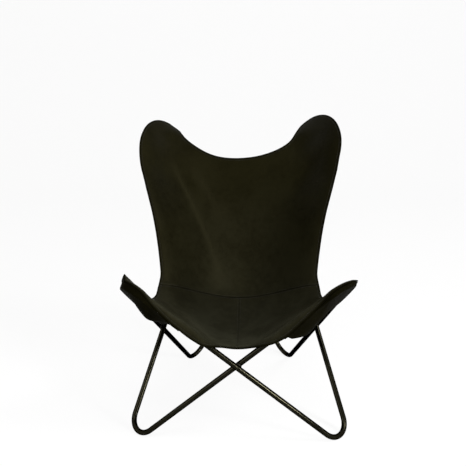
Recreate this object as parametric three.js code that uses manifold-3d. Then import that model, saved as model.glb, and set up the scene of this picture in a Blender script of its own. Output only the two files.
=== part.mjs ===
// A butterfly sling chair: two bent loops of round steel rod, welded where they cross, and a leather sling
// whose four corner pockets hang on the four upper bends of the loops.
// Millimetres, +Z up, the front of the chair faces -Y. The origin is on the floor under the middle of the chair.
import * as THREE from "three";
import { mergeVertices } from "three/addons/utils/BufferGeometryUtils.js";
import Module from "manifold-3d";

const wasm = await Module();
wasm.setup();

// The rod
const rodDiameter = 15;
const rodSides = 12;
const bendStep = THREE.MathUtils.degToRad(11);
const crossingGap = 0.3;
const footFlatDepth = 0.8;

// Corners of one loop, where its straight runs would meet: half span, distance back from the front feet,
// height, bend radius. The feet settle on the floor from these heights, and the elbow moves in or out from this
// half span until the leg passes the other loop's arm.
const frontFoot = { half: 354, back: 0, height: -48, radius: 53 };
const rearFoot = { half: 178, back: 578, height: -33, radius: 53 };
const frontTip = { half: 340, back: -52, height: 544, radius: 50 };
const rearTip = { half: 400, back: 735, height: 1128, radius: 78 };
const elbow = { half: 230, back: 299, height: 339, radius: 100 };
const elbowPlay = 60;

// Weld beads at the four crossings
const beadHalfWidth = 9.5;
const beadHalfThickness = 4.5;
const weldGap = 0.3;

// The leather
const leatherThickness = 3;
const seamGap = 0.3;
const sewnGap = 0.5;
const hemWidth = 12;
const hemThickness = 1.5;
const tapeWidth = 22;
const hemShare = 0.045;
const pocketThickness = 2;
const pocketSewnGap = 1.7;
const pocketRodGap = 0.6;

// The leather's edge round the tips: the angle round the rod's bend from its outermost point, positive to the outer
// side, how far the leather reaches past the middle of the rod, and how far it stands in front of it
const frontTipEdge = { angle: 0, reach: 22, lift: 5 };
const frontTipInside = { angle: -50, reach: 14, lift: 11 };
const frontTipOutside = { angle: 50, reach: 17, lift: 8 };
const rearTipEdge = { angle: 0, reach: 22, lift: 3 };
const rearTipInside = [
  { angle: -65, reach: 27, lift: 6 },
  { angle: -33, reach: 22, lift: 4 },
];
const rearTipOutside = [
  { angle: 82, reach: 30, lift: 6 },
  { angle: 40, reach: 24, lift: 4 },
];

// The side edge first runs outside the frame's arm: share of the arm, distance outside, lift
const besideArm = { share: 0.15, reach: 16, lift: 9 };

// Places along the side edge of the sling: half span, distance back, height
const armUnder = { half: 286, back: 130, height: 404 };
const armpit = { half: 270, back: 190, height: 378 };
const waist = { half: 256, back: 255, height: 386 };
const seamEnd = { half: 256, back: 292, height: 408 };
const lowBack = { half: 268, back: 345, height: 488 };
const midBack = { half: 288, back: 392, height: 589 };
const highBack = { half: 320, back: 452, height: 692 };
const shoulder = { half: 344, back: 505, height: 772 };

// Places along the middle of the sling: distance back, height
const frontMiddle = { back: -6, height: 305 };
const seatFront = { back: 110, height: 268 };
const seatLow = { back: 235, height: 259 };
const seatRear = { back: 330, height: 278 };
const seamMiddle = { back: 385, height: 305 };
const backLow = { back: 450, height: 372 };
const backMiddle = { back: 525, height: 490 };
const backHigh = { back: 592, height: 625 };
const topDip = { back: 645, height: 751 };

// The front of the seat lies over the arms of the frame, from where it meets them at the inner share of an arm to
// the tip, and its hem hangs down in front of them.
const frontNear = { half: 45, back: -11, height: 313 };
const armShares = [0.64, 0.7, 0.78, 0.86];
const armLift = 14;
const freeFlap = { forward: 22, drop: -6 };
const armFlap = { forward: 20, drop: 30 };
const armFlapShoulder = { forward: 9, drop: 3.5 };
const tipFlap = { forward: 3, drop: 3 };
const flapMeetsArm = 30;
const flapOnArm = 150;
const flapLeavesArm = 225;

// Places along the top edge: half span, distance back, height
const topNear = { half: 96, back: 651, height: 765 };
const topRise = { half: 176, back: 664, height: 802 };

// Soft folds that run down the back from the shoulders, from one place to another: half span, height
const folds = [
  { side: -1, from: { half: 215, height: 740 }, to: { half: 60, height: 420 }, depth: 5, width: 22 },
  { side: -1, from: { half: 265, height: 690 }, to: { half: 130, height: 430 }, depth: 4, width: 20 },
  { side: 1, from: { half: 235, height: 730 }, to: { half: 110, height: 440 }, depth: 3.5, width: 24 },
];

// Corner pockets: the shares of the side edge and of the end edge that they cover, the width left at their ends,
// the width of the wall that goes round the rod, and how far they bag below it
const frontPocket = { alongSide: 0.3, alongEnd: 0.5, endShare: 0.07, wall: 9, bag: 20 };
const rearPocket = { alongSide: 0.4, alongEnd: 0.3, endShare: 0.07, wall: 9, bag: 2 };

// Where the leather comes near a rod it lies over it: it stands off by this from the rod's surface, over this width,
// and returns to its own shape over the width after that
const rodStandOff = 1;
const layWidth = 24;
const leaveWidth = 30;

// Mesh fineness
const backRows = 18;
const seatRows = 14;
const halfCells = 12;
const pocketRows = 7;
const pocketCells = 20;

const steelBlack = { color: 0x14120f, roughness: 0.3, metalness: 0.7 };
const weldBlack = { color: 0x16140f, roughness: 0.45, metalness: 0.7 };
const backBlack = { color: 0x1d1c15, roughness: 0.55, metalness: 0 };
const seatBlack = { color: 0x26251d, roughness: 0.5, metalness: 0 };
const hemBlack = { color: 0x161510, roughness: 0.6, metalness: 0 };
const tapeBlack = { color: 0x121212, roughness: 0.9, metalness: 0 };

const rodRadius = rodDiameter / 2;
// The crossing runs lean out of the direction in which the loops are parted, so they are parted a little more.
const leanAllowance = 1.012;
const loopParting = ((rodDiameter + crossingGap) / 2) * leanAllowance;

const place = (side, { half, back, height }) => new THREE.Vector3(side * half, back, height);
const middlePlace = ({ back, height }) => new THREE.Vector3(0, back, height);
const smooth = (share) => THREE.MathUtils.smoothstep(share, 0, 1);
const between = (a, b, share) => a.clone().lerp(b, share);

// Closed bodies

function bodyOf(points, index) {
  const geometry = new THREE.BufferGeometry();
  const positions = points.flatMap((point) => point.toArray());
  geometry.setAttribute("position", new THREE.Float32BufferAttribute(positions, 3));
  geometry.setIndex(index);
  return geometry;
}

// Six times the enclosed volume, negative if the faces look inwards.
function signedVolume(points, index) {
  let sum = 0;
  for (let i = 0; i < index.length; i += 3) {
    const [a, b, c] = index.slice(i, i + 3).map((vertex) => points[vertex]);
    sum += a.dot(b.clone().cross(c));
  }
  return sum;
}

// A sheet between a grid of points on its upper face and a grid on its lower face, both given row by row.
function sheetBody(upperRows, lowerRows) {
  const rows = upperRows.length;
  const columns = upperRows[0].length;
  const points = [...upperRows.flat(), ...lowerRows.flat()];
  const upper = (row, column) => row * columns + column;
  const lower = (row, column) => rows * columns + upper(row, column);
  const index = [];
  const quad = (a, b, c, d) => index.push(a, b, c, a, c, d);
  const lastRow = rows - 1;
  const lastColumn = columns - 1;
  for (let r = 0; r < lastRow; r++) {
    for (let c = 0; c < lastColumn; c++) {
      quad(upper(r, c), upper(r, c + 1), upper(r + 1, c + 1), upper(r + 1, c));
      quad(lower(r, c), lower(r + 1, c), lower(r + 1, c + 1), lower(r, c + 1));
    }
    quad(upper(r, 0), upper(r + 1, 0), lower(r + 1, 0), lower(r, 0));
    quad(upper(r + 1, lastColumn), upper(r, lastColumn), lower(r, lastColumn), lower(r + 1, lastColumn));
  }
  for (let c = 0; c < lastColumn; c++) {
    quad(upper(0, c + 1), upper(0, c), lower(0, c), lower(0, c + 1));
    quad(upper(lastRow, c), upper(lastRow, c + 1), lower(lastRow, c + 1), lower(lastRow, c));
  }
  if (signedVolume(points, index) < 0) index.reverse();
  return bodyOf(points, index);
}

function solidOf(geometry) {
  const bare = geometry.clone();
  bare.deleteAttribute("normal");
  bare.deleteAttribute("uv");
  const merged = mergeVertices(bare, 1e-4);
  const vertProperties = new Float32Array(merged.attributes.position.array);
  const triVerts = new Uint32Array(merged.index.array);
  return new wasm.Manifold(new wasm.Mesh({ numProp: 3, vertProperties, triVerts }));
}

function geometryOf(solid) {
  const mesh = solid.getMesh();
  const geometry = new THREE.BufferGeometry();
  geometry.setAttribute("position", new THREE.Float32BufferAttribute(mesh.vertProperties, mesh.numProp));
  geometry.setIndex(Array.from(mesh.triVerts));
  return geometry;
}

// Frame: corners and bends

// The bend at one corner: the points of its arc, its outermost point, and which way it points.
function bendAt(corners, i) {
  const { at, radius } = corners[i];
  const toBefore = corners.at(i - 1).at.clone().sub(at).normalize();
  const toAfter = corners[(i + 1) % corners.length].at.clone().sub(at).normalize();
  const turn = Math.PI - toBefore.angleTo(toAfter);
  const inward = toBefore.clone().add(toAfter).normalize();
  const center = at.clone().addScaledVector(inward, radius / Math.cos(turn / 2));
  const axis = inward.clone().negate();
  const along = toAfter.clone().sub(toBefore).normalize();
  const pointAt = (angle) =>
    center
      .clone()
      .addScaledVector(axis, radius * Math.cos(angle))
      .addScaledVector(along, radius * Math.sin(angle));
  const steps = Math.ceil(turn / bendStep);
  const points = [];
  for (let k = 0; k <= steps; k++) points.push(pointAt(turn * (k / steps - 0.5)));
  return { points, apex: pointAt(0), center, axis, along, radius, at, toAfter };
}

const [rearTipIndex, elbowIndex, frontFootIndex, frontTipIndex, rearFootIndex] = [0, 1, 2, 3, 4];

// The loop whose leg stands at the front foot of the given side (-1 left, 1 right).
function loopCorners(side, elbowHalf, feet) {
  const shift = new THREE.Vector3(0, -side * loopParting, 0);
  const corner = (cornerSide, spot) => ({ at: place(cornerSide, spot).add(shift), radius: spot.radius });
  return [
    corner(side, rearTip),
    corner(side, { ...elbow, half: elbowHalf }),
    corner(side, { ...frontFoot, height: feet.front }),
    corner(-side, frontTip),
    corner(-side, { ...rearFoot, height: feet.rear }),
  ];
}

const lowest = (points) => Math.min(...points.map((point) => point.z));

// Foot heights that set both lower bends of a loop down on the floor, less the flat that is ground off.
function settledFeet(side, elbowHalf) {
  const feet = { front: frontFoot.height, rear: rearFoot.height };
  const settlingPasses = 8;
  for (let pass = 0; pass < settlingPasses; pass++) {
    const corners = loopCorners(side, elbowHalf, feet);
    feet.front += rodRadius - footFlatDepth - lowest(bendAt(corners, frontFootIndex).points);
    feet.rear += rodRadius - footFlatDepth - lowest(bendAt(corners, rearFootIndex).points);
  }
  return feet;
}

// How far outside this loop's leg the other loop's arm passes it, from middle line to middle line.
function sideClearance(side, elbowHalf) {
  const own = loopCorners(side, elbowHalf, settledFeet(side, elbowHalf));
  const other = loopCorners(-side, elbowHalf, settledFeet(-side, elbowHalf));
  const foot = own[frontFootIndex].at;
  const leg = own[elbowIndex].at.clone().sub(foot);
  const armEnd = other[rearFootIndex].at;
  const arm = other[frontTipIndex].at.clone().sub(armEnd);
  const across = leg.clone().cross(arm).normalize();
  return Math.sign(across.x) * side * armEnd.clone().sub(foot).dot(across);
}

function elbowHalfFor(side) {
  let inner = elbow.half - elbowPlay;
  let outer = elbow.half + elbowPlay;
  const halvings = 40;
  for (let k = 0; k < halvings; k++) {
    const trial = (inner + outer) / 2;
    if (sideClearance(side, trial) > rodDiameter + crossingGap) inner = trial;
    else outer = trial;
  }
  return inner;
}

function makeLoop(side) {
  const elbowHalf = elbowHalfFor(side);
  const corners = loopCorners(side, elbowHalf, settledFeet(side, elbowHalf));
  const bends = corners.map((_, i) => bendAt(corners, i));
  return { corners, bends, path: bends.flatMap((bend) => bend.points) };
}

const loops = { left: makeLoop(-1), right: makeLoop(1) };

// Frame: rods

// A round rod along a closed path. Its section is carried along without twist, and the turn that is missing where
// the path closes is partly a whole number of facets, and the rest is shared out along the path.
function rodAlong(path, radius) {
  const count = path.length;
  const tangents = path.map((point, i) => {
    const ahead = path[(i + 1) % count].clone().sub(point).normalize();
    const behind = point.clone().sub(path.at(i - 1)).normalize();
    return ahead.add(behind).normalize();
  });
  const sideways = [new THREE.Vector3(0, 0, 1).cross(tangents[0]).normalize()];
  for (let i = 1; i <= count; i++) {
    const turn = new THREE.Quaternion().setFromUnitVectors(tangents[i - 1], tangents[i % count]);
    sideways.push(sideways[i - 1].clone().applyQuaternion(turn));
  }
  const end = sideways.pop();
  const facet = (2 * Math.PI) / rodSides;
  const missing = Math.atan2(end.clone().cross(sideways[0]).dot(tangents[0]), end.dot(sideways[0]));
  const wholeFacets = Math.round(missing / facet);
  const twist = (missing - wholeFacets * facet) / count;
  const points = path.flatMap((point, i) => {
    const up = tangents[i].clone().cross(sideways[i]);
    const ring = [];
    for (let k = 0; k < rodSides; k++) {
      const angle = twist * i + facet * k;
      const offset = sideways[i].clone().multiplyScalar(Math.cos(angle)).addScaledVector(up, Math.sin(angle));
      ring.push(point.clone().addScaledVector(offset, radius));
    }
    return ring;
  });
  const index = [];
  const vertex = (i, k) => (i % count) * rodSides + ((k + (i < count ? 0 : -wholeFacets) + rodSides) % rodSides);
  for (let i = 0; i < count; i++) {
    for (let k = 0; k < rodSides; k++) {
      const [a, b, c, d] = [vertex(i, k), vertex(i, k + 1), vertex(i + 1, k + 1), vertex(i + 1, k)];
      index.push(a, b, c, a, c, d);
    }
  }
  if (signedVolume(points, index) < 0) index.reverse();
  return bodyOf(points, index);
}

const floorSlabSize = 2000;
const floorSlab = new THREE.BoxGeometry(floorSlabSize, floorSlabSize, floorSlabSize);
floorSlab.translate(0, 0, -floorSlabSize / 2);
const belowFloor = solidOf(floorSlab);

const frameRod = (loop) => geometryOf(solidOf(rodAlong(loop.path, rodRadius)).subtract(belowFloor));

// Frame: welds

// The points at which two straight runs come nearest to each other.
function nearestPoints(startA, endA, startB, endB) {
  const a = endA.clone().sub(startA);
  const b = endB.clone().sub(startB);
  const apart = startB.clone().sub(startA);
  const [aa, ab, bb] = [a.dot(a), a.dot(b), b.dot(b)];
  const shareA = (apart.dot(a) * bb - apart.dot(b) * ab) / (aa * bb - ab * ab);
  const onA = startA.clone().addScaledVector(a, shareA);
  const onB = startB.clone().addScaledVector(b, onA.clone().sub(startB).dot(b) / bb);
  return [onA, onB];
}

const weldClearance = [loops.left, loops.right].map((loop) => solidOf(rodAlong(loop.path, rodRadius + weldGap)));

// A bead in the angle between two crossing runs, each given as a loop and the corners at its ends.
function weldBead([loopA, fromA, toA], [loopB, fromB, toB]) {
  const cornerAt = (loop, i) => loop.corners[i].at;
  const [onA, onB] = nearestPoints(
    cornerAt(loopA, fromA),
    cornerAt(loopA, toA),
    cornerAt(loopB, fromB),
    cornerAt(loopB, toB),
  );
  const bead = new THREE.SphereGeometry(1, 16, 10);
  bead.scale(beadHalfWidth, beadHalfThickness, beadHalfWidth);
  const across = onB.clone().sub(onA).normalize();
  bead.applyQuaternion(new THREE.Quaternion().setFromUnitVectors(new THREE.Vector3(0, 1, 0), across));
  const middle = between(onA, onB, 0.5);
  bead.translate(middle.x, middle.y, middle.z);
  return geometryOf(solidOf(bead).subtract(weldClearance[0]).subtract(weldClearance[1]));
}

// Sling: the bends that its corners hang on

const sitter = new THREE.Vector3(0, 250, 600);

// A bend with the direction in which its flat side looks at the sitter.
function bowOf(bend) {
  const facing = bend.axis.clone().cross(bend.along).normalize();
  if (facing.dot(sitter.clone().sub(bend.apex)) < 0) facing.negate();
  return { ...bend, facing };
}

const frontBow = { [-1]: bowOf(loops.right.bends[frontTipIndex]), [1]: bowOf(loops.left.bends[frontTipIndex]) };
const rearBow = { [-1]: bowOf(loops.left.bends[rearTipIndex]), [1]: bowOf(loops.right.bends[rearTipIndex]) };

// A place of the leather's edge round a bend.
function roundBow({ center, axis, along, facing, radius }, { angle, reach, lift }) {
  const turn = THREE.MathUtils.degToRad(angle);
  return center
    .clone()
    .addScaledVector(axis, (radius + reach) * Math.cos(turn))
    .addScaledVector(along, (radius + reach) * Math.sin(turn))
    .addScaledVector(facing, lift);
}

// A place beside the arm that runs back and down from a front bend.
function outsideArm({ at, toAfter, along, facing }, armLength, { share, reach, lift }) {
  const outward = facing.clone().cross(toAfter).normalize();
  if (outward.dot(along) < 0) outward.negate();
  return at
    .clone()
    .addScaledVector(toAfter, armLength * share)
    .addScaledVector(outward, reach)
    .addScaledVector(facing, lift);
}

// Sling: its edges and its middle line

const curveThrough = (points) => new THREE.CatmullRomCurve3(points, false, "centripetal");

// A curve read from 0 at its start over 1 at one of its points, the seam, to 2 at its end.
function seamedLine(points, seamPoint) {
  const curve = curveThrough(points);
  const stepsEach = 40;
  const lengths = curve.getLengths(stepsEach * (points.length - 1));
  const seamShare = lengths[stepsEach * points.indexOf(seamPoint)] / lengths.at(-1);
  return (v) => curve.getPointAt(v < 1 ? seamShare * v : seamShare + (1 - seamShare) * Math.min(v - 1, 1));
}

function sideEdgeFor(side) {
  const seam = place(side, seamEnd);
  const { corners } = side < 0 ? loops.right : loops.left;
  const armLength = corners[frontTipIndex].at.distanceTo(corners[rearFootIndex].at);
  const round = [frontTipEdge, frontTipOutside].map((spot) => roundBow(frontBow[side], spot));
  const beside = outsideArm(frontBow[side], armLength, besideArm);
  const lower = [armUnder, armpit, waist].map((spot) => place(side, spot));
  const upper = [lowBack, midBack, highBack, shoulder].map((spot) => place(side, spot));
  const lobe = [...rearTipOutside, rearTipEdge].map((spot) => roundBow(rearBow[side], spot));
  return seamedLine([...round, beside, ...lower, seam, ...upper, ...lobe], seam);
}

const middleSeam = middlePlace(seamMiddle);
const middleLine = seamedLine(
  [
    ...[frontMiddle, seatFront, seatLow, seatRear].map(middlePlace),
    middleSeam,
    ...[backLow, backMiddle, backHigh, topDip].map(middlePlace),
  ],
  middleSeam,
);

// The line on which the front of the seat lies: free in the middle, then on top of the arm up to the tip.
function frontLineFor(side) {
  const loop = side < 0 ? loops.right : loops.left;
  const inner = loop.corners[frontFootIndex].at;
  const outer = loop.corners[frontTipIndex].at;
  const lift = new THREE.Vector3(0, 0, armLift);
  const onArm = armShares.map((share) => between(inner, outer, share).add(lift));
  const round = [frontTipInside, frontTipEdge].map((spot) => roundBow(frontBow[side], spot));
  return curveThrough([middlePlace(frontMiddle), place(side, frontNear), ...onArm, ...round]);
}

function topLineFor(side) {
  const spots = [topNear, topRise].map((spot) => place(side, spot));
  const lobe = [...rearTipInside, rearTipEdge].map((spot) => roundBow(rearBow[side], spot));
  return curveThrough([middlePlace(topDip), ...spots, ...lobe]);
}

const bySide = (make) => ({ [-1]: make(-1), [1]: make(1) });
const sideEdge = bySide(sideEdgeFor);
const frontLine = bySide(frontLineFor);
const topLine = bySide(topLineFor);

// Sling: its surface

// u runs from -1 at the left edge to 1 at the right edge; v from 0 at the front over 1 at the seam to 2 at the top.
// Each section hangs between the side edges like a shallow bowl that lies flat along the edges.
const bowlPower = 1.4;

function bowlPoint(u, v) {
  const side = u < 0 ? -1 : 1;
  const edge = sideEdge[side](v);
  const point = between(middleLine(v), edge, 1 - (1 - u * u) ** bowlPower);
  point.x = edge.x * Math.abs(u);
  return point;
}

const pull = (line, u, v) => line[u < 0 ? -1 : 1].getPointAt(Math.abs(u)).sub(bowlPoint(u, v));

// The bowl, pulled to the front line and to the top line.
function drawnPoint(u, v) {
  const point = bowlPoint(u, v);
  if (v < 1) point.addScaledVector(pull(frontLine, u, 0), (1 - v) ** 2);
  else point.addScaledVector(pull(topLine, u, 2), (v - 1) ** 3);
  return point;
}

// Directions are taken a little inside the edges, because the edges run together at the tips.
const directionStep = 0.01;
const directionInset = 0.03;

function slingFacing(u, v) {
  const [uIn, vIn] = [
    THREE.MathUtils.clamp(u, -1 + directionInset, 1 - directionInset),
    THREE.MathUtils.clamp(v, directionInset, 2 - directionInset),
  ];
  const across = drawnPoint(uIn + directionStep, vIn).sub(drawnPoint(uIn - directionStep, vIn));
  const upward = drawnPoint(uIn, vIn + directionStep).sub(drawnPoint(uIn, vIn - directionStep));
  return across.cross(upward).normalize();
}

// How far the folds push the leather towards the sitter at a point.
function foldDepth(point) {
  let depth = 0;
  for (const { side, from, to, depth: most, width } of folds) {
    const start = new THREE.Vector2(side * from.half, from.height);
    const run = new THREE.Vector2(side * to.half, to.height).sub(start);
    const offset = new THREE.Vector2(point.x, point.z).sub(start);
    const share = offset.dot(run) / run.lengthSq();
    const away = offset.cross(run) / run.length() / width;
    if (share > 0 && share < 1) depth += most * Math.sin(Math.PI * share) ** 2 * Math.exp(-away * away);
  }
  return depth;
}

// The flap along the front, which hangs from the front line: w runs from 0 at the hem to 1 on the front line.
function flap(u, w) {
  const line = drawnPoint(u, 0);
  const half = Math.abs(line.x);
  const tipHalf = Math.abs(frontLine[1].getPointAt(1).x);
  const onArm = smooth((half - flapMeetsArm) / (flapOnArm - flapMeetsArm));
  const atTip = smooth((half - flapLeavesArm) / (tipHalf - flapLeavesArm));
  const along = (free, arm, tip) => THREE.MathUtils.lerp(THREE.MathUtils.lerp(free, arm, onArm), tip, atTip);
  const down = (forward, drop) => line.clone().add(new THREE.Vector3(0, -forward, -drop));
  const hem = down(
    along(freeFlap.forward, armFlap.forward, tipFlap.forward),
    along(freeFlap.drop, armFlap.drop, tipFlap.drop),
  );
  const shoulderLine = down(
    along(freeFlap.forward / 2, armFlapShoulder.forward, tipFlap.forward / 2),
    along(freeFlap.drop / 2, armFlapShoulder.drop, tipFlap.drop / 2),
  );
  return w < 0.5 ? between(hem, shoulderLine, 2 * w) : between(shoulderLine, line, 2 * w - 1);
}

const runsOf = ({ path }) => path.map((start, i) => new THREE.Line3(start, path[(i + 1) % path.length]));
const rodRuns = [...runsOf(loops.left), ...runsOf(loops.right)];

// How far a point of the leather has to move the way that it faces, to lie over the rods behind it.
function liftOverRods(point, facing) {
  const clear = rodRadius + rodStandOff + leatherThickness / 2;
  const reach = layWidth + leaveWidth;
  let lift = 0;
  for (const run of rodRuns) {
    const offset = point.clone().sub(run.closestPointToPoint(point, true, new THREE.Vector3()));
    if (offset.length() > 2 * reach) continue;
    const height = offset.dot(facing);
    const aside = offset.addScaledVector(facing, -height).length();
    const fade = smooth(1 - (aside - layWidth) / leaveWidth);
    lift = Math.max(lift, (clear - height) * fade);
  }
  return lift;
}

// A point of the middle of the leather and the direction that it faces; v below 0 is the flap.
function sling(u, v) {
  if (v < 0) {
    const step = 0.02;
    const [uIn, wIn] = [THREE.MathUtils.clamp(u, step - 1, 1 - step), THREE.MathUtils.clamp(1 + v, step, 1 - step)];
    const across = flap(uIn + step, wIn).sub(flap(uIn - step, wIn));
    const upward = flap(uIn, wIn + step).sub(flap(uIn, wIn - step));
    return { point: flap(u, 1 + v), facing: across.cross(upward).normalize() };
  }
  const facing = slingFacing(u, v);
  const point = drawnPoint(u, v);
  if (v > 1) point.addScaledVector(facing, foldDepth(point));
  point.addScaledVector(facing, liftOverRods(point, facing));
  return { point, facing };
}

// Sling: pieces

const span = (from, to, cells) => Array.from({ length: cells + 1 }, (_, i) => from + ((to - from) * i) / cells);

const shifted = ({ point, facing }, distance) => point.clone().addScaledVector(facing, distance);

// A leather sheet of a thickness around a grid of places, sunk below the middle of the leather by a depth.
function leatherSheet(rows, thickness, depth = 0) {
  const atDepth = (distance) => rows.map((row) => row.map((spot) => shifted(spot, distance)));
  return sheetBody(atDepth(thickness / 2 - depth), atDepth(-thickness / 2 - depth));
}

// The share of u or v that makes up a length on the sling at a place.
function shareForLength(length, u, v, du, dv) {
  const step = 0.01;
  return (length * step) / drawnPoint(u + du * step, v + dv * step).distanceTo(drawnPoint(u, v));
}

// The lines that the panels are divided by. The strips under them use the same lines, so that they bend alike.
const halfSeam = seamGap / 2;
const seamUp = 1 + shareForLength(halfSeam, 0, 1.05, 0, 1);
const seamDown = 1 - shareForLength(halfSeam, 0, 0.9, 0, 1);
const tapeUp = 1 + shareForLength(tapeWidth / 2, 0, 1.02, 0, 1);
const tapeDown = 1 - shareForLength(tapeWidth / 2, 0, 0.95, 0, 1);
const tapeSide = shareForLength(tapeWidth / 2, 0, 0.5, 1, 0);
const topHemLine = 2 - shareForLength(hemWidth, 0, 1.98, 0, 1);
const [frontHemLine, flapShoulderLine] = [-0.75, -0.5];
const backLines = [seamUp, ...span(tapeUp, topHemLine, backRows), 2];
const seatLines = [...span(0, tapeDown, seatRows), seamDown];
const halfColumns = [...span(tapeSide, 1 - hemShare, halfCells), 1];
const mirrored = (columns) => columns.map((u) => -u).reverse();

function backPanel() {
  const columns = [...mirrored(halfColumns), 0, ...halfColumns];
  return leatherSheet(
    backLines.map((v) => columns.map((u) => sling(u, v))),
    leatherThickness,
  );
}

function seatPanel(side) {
  const half = [shareForLength(halfSeam, 0, 0.5, 1, 0), ...halfColumns];
  const columns = side < 0 ? mirrored(half) : half;
  const lines = [-1, frontHemLine, flapShoulderLine, ...seatLines];
  return leatherSheet(
    lines.map((v) => columns.map((u) => sling(u, v))),
    leatherThickness,
  );
}

// A pocket sewn under a corner of the sling. s runs along the corner's edges from the side edge round the tip to
// the end edge, t from the edge to the pocket's mouth.
function pocket(side, bow, { alongSide, alongEnd, endShare, wall, bag }, atFront) {
  const vEnd = atFront ? -1 : 2;
  const vTip = atFront ? 0 : 2;
  const vInward = atFront ? 1 : -1;
  const edgeAt = (s) =>
    s < 0.5
      ? [1, THREE.MathUtils.lerp(vTip + vInward * alongSide, vEnd, 2 * s)]
      : [1 - alongEnd * (2 * s - 1), vEnd];
  const mouthFrom = [1 - endShare, vTip + vInward * alongSide];
  const mouthTo = [1 - alongEnd, vTip + vInward * endShare];
  const mouthAt = (s) => [0, 1].map((i) => THREE.MathUtils.lerp(mouthFrom[i], mouthTo[i], s));
  const sunk = leatherThickness / 2 + pocketSewnGap + pocketThickness / 2;
  const behindRod = rodRadius + pocketRodGap + pocketThickness / 2;
  const spotAt = (s, t) => {
    const [edge, mouth] = [edgeAt(s), mouthAt(s)].map(([u, v]) => sling(side * u, v));
    const spot = between(edge.point, mouth.point, t);
    const height = spot.clone().sub(bow.apex).dot(bow.facing);
    const bagging = bag * Math.sin(Math.PI * s) * smooth(t);
    const turned = smooth(spot.distanceTo(edge.point) / wall);
    const sink = THREE.MathUtils.lerp(sunk, Math.max(height + behindRod + bagging, sunk), turned);
    return { point: spot.addScaledVector(bow.facing, -sink), facing: bow.facing };
  };
  const columns = span(0, 1, pocketCells);
  const rows = span(0, 1, pocketRows).map((t) => columns.map((s) => spotAt(s, t * t)));
  return leatherSheet(rows, pocketThickness);
}

// A strip sewn under the sling: rows of places given as u and v.
function strip(rows) {
  const depth = leatherThickness / 2 + sewnGap + hemThickness / 2;
  return leatherSheet(
    rows.map((row) => row.map(([u, v]) => sling(u, v))),
    hemThickness,
    depth,
  );
}

const within = (columns, limit) => columns.filter((u) => u <= limit);

const topHem = () => {
  const half = within(halfColumns, 1 - rearPocket.alongEnd);
  const columns = [...mirrored(half), 0, ...half];
  return strip([topHemLine, 2].map((v) => columns.map((u) => [u, v])));
};

const frontHem = () => {
  const half = within(halfColumns, 1 - frontPocket.alongEnd);
  const columns = [...mirrored(half), 0, ...half];
  return strip([-1, frontHemLine].map((v) => columns.map((u) => [u, v])));
};

const sideHem = (side) => {
  const spare = 0.05;
  const lines = [...seatLines, ...backLines].filter(
    (v) => v > frontPocket.alongSide + spare && v < 2 - rearPocket.alongSide - spare,
  );
  return strip([1 - hemShare, 1].map((u) => lines.map((v) => [side * u, v])));
};

const crossTape = () => {
  const spare = 0.01;
  const half = within(halfColumns, 1 - hemShare - spare);
  const columns = [...mirrored(half), 0, ...half];
  return strip([tapeDown, seamDown, seamUp, tapeUp].map((v) => columns.map((u) => [u, v])));
};

const centerTape = () => {
  const lines = seatLines.filter((v) => v < tapeDown);
  return strip([-tapeSide, 0, tapeSide].map((u) => lines.map((v) => [u, v])));
};

// Assembly

const chair = new THREE.Group();
chair.name = "butterfly_sling_chair";

function add(name, geometry, finish) {
  const mesh = new THREE.Mesh(geometry, new THREE.MeshStandardMaterial(finish));
  mesh.name = name;
  chair.add(mesh);
}

const { left, right } = loops;
add("frame_rod_left", frameRod(left), steelBlack);
add("frame_rod_right", frameRod(right), steelBlack);
add("weld_front", weldBead([left, frontFootIndex, frontTipIndex], [right, frontFootIndex, frontTipIndex]), weldBlack);
add("weld_rear", weldBead([left, rearFootIndex, rearTipIndex], [right, rearFootIndex, rearTipIndex]), weldBlack);
add("weld_left", weldBead([left, elbowIndex, frontFootIndex], [right, frontTipIndex, rearFootIndex]), weldBlack);
add("weld_right", weldBead([right, elbowIndex, frontFootIndex], [left, frontTipIndex, rearFootIndex]), weldBlack);
add("back_panel", backPanel(), backBlack);
add("seat_panel_left", seatPanel(-1), seatBlack);
add("seat_panel_right", seatPanel(1), seatBlack);
add("pocket_front_left", pocket(-1, frontBow[-1], frontPocket, true), backBlack);
add("pocket_front_right", pocket(1, frontBow[1], frontPocket, true), backBlack);
add("pocket_rear_left", pocket(-1, rearBow[-1], rearPocket, false), backBlack);
add("pocket_rear_right", pocket(1, rearBow[1], rearPocket, false), backBlack);
add("hem_top", topHem(), hemBlack);
add("hem_front", frontHem(), hemBlack);
add("hem_left", sideHem(-1), hemBlack);
add("hem_right", sideHem(1), hemBlack);
add("seat_back_seam_tape", crossTape(), tapeBlack);
add("seat_center_seam_tape", centerTape(), tapeBlack);

const box = new THREE.Box3().setFromObject(chair);
const middle = box.getCenter(new THREE.Vector3());
for (const mesh of chair.children) mesh.geometry.translate(-middle.x, -middle.y, -box.min.z);

export default chair;
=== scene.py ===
"""Looks of a butterfly sling chair: a black leather sling hung by corner pockets on two loops of steel rod.

Lengths inside this file are millimetres in the drawing's own frame (half span from the middle, distance
back from the front feet, height). They become metres in the part's frame where a mesh is made.
"""

import logging
import math
from collections.abc import Callable, Iterable, Sequence
from dataclasses import dataclass, field
from enum import Enum

import bpy
import numpy as np
from mathutils import Matrix, Vector, noise
from mathutils.bvhtree import BVHTree


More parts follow.
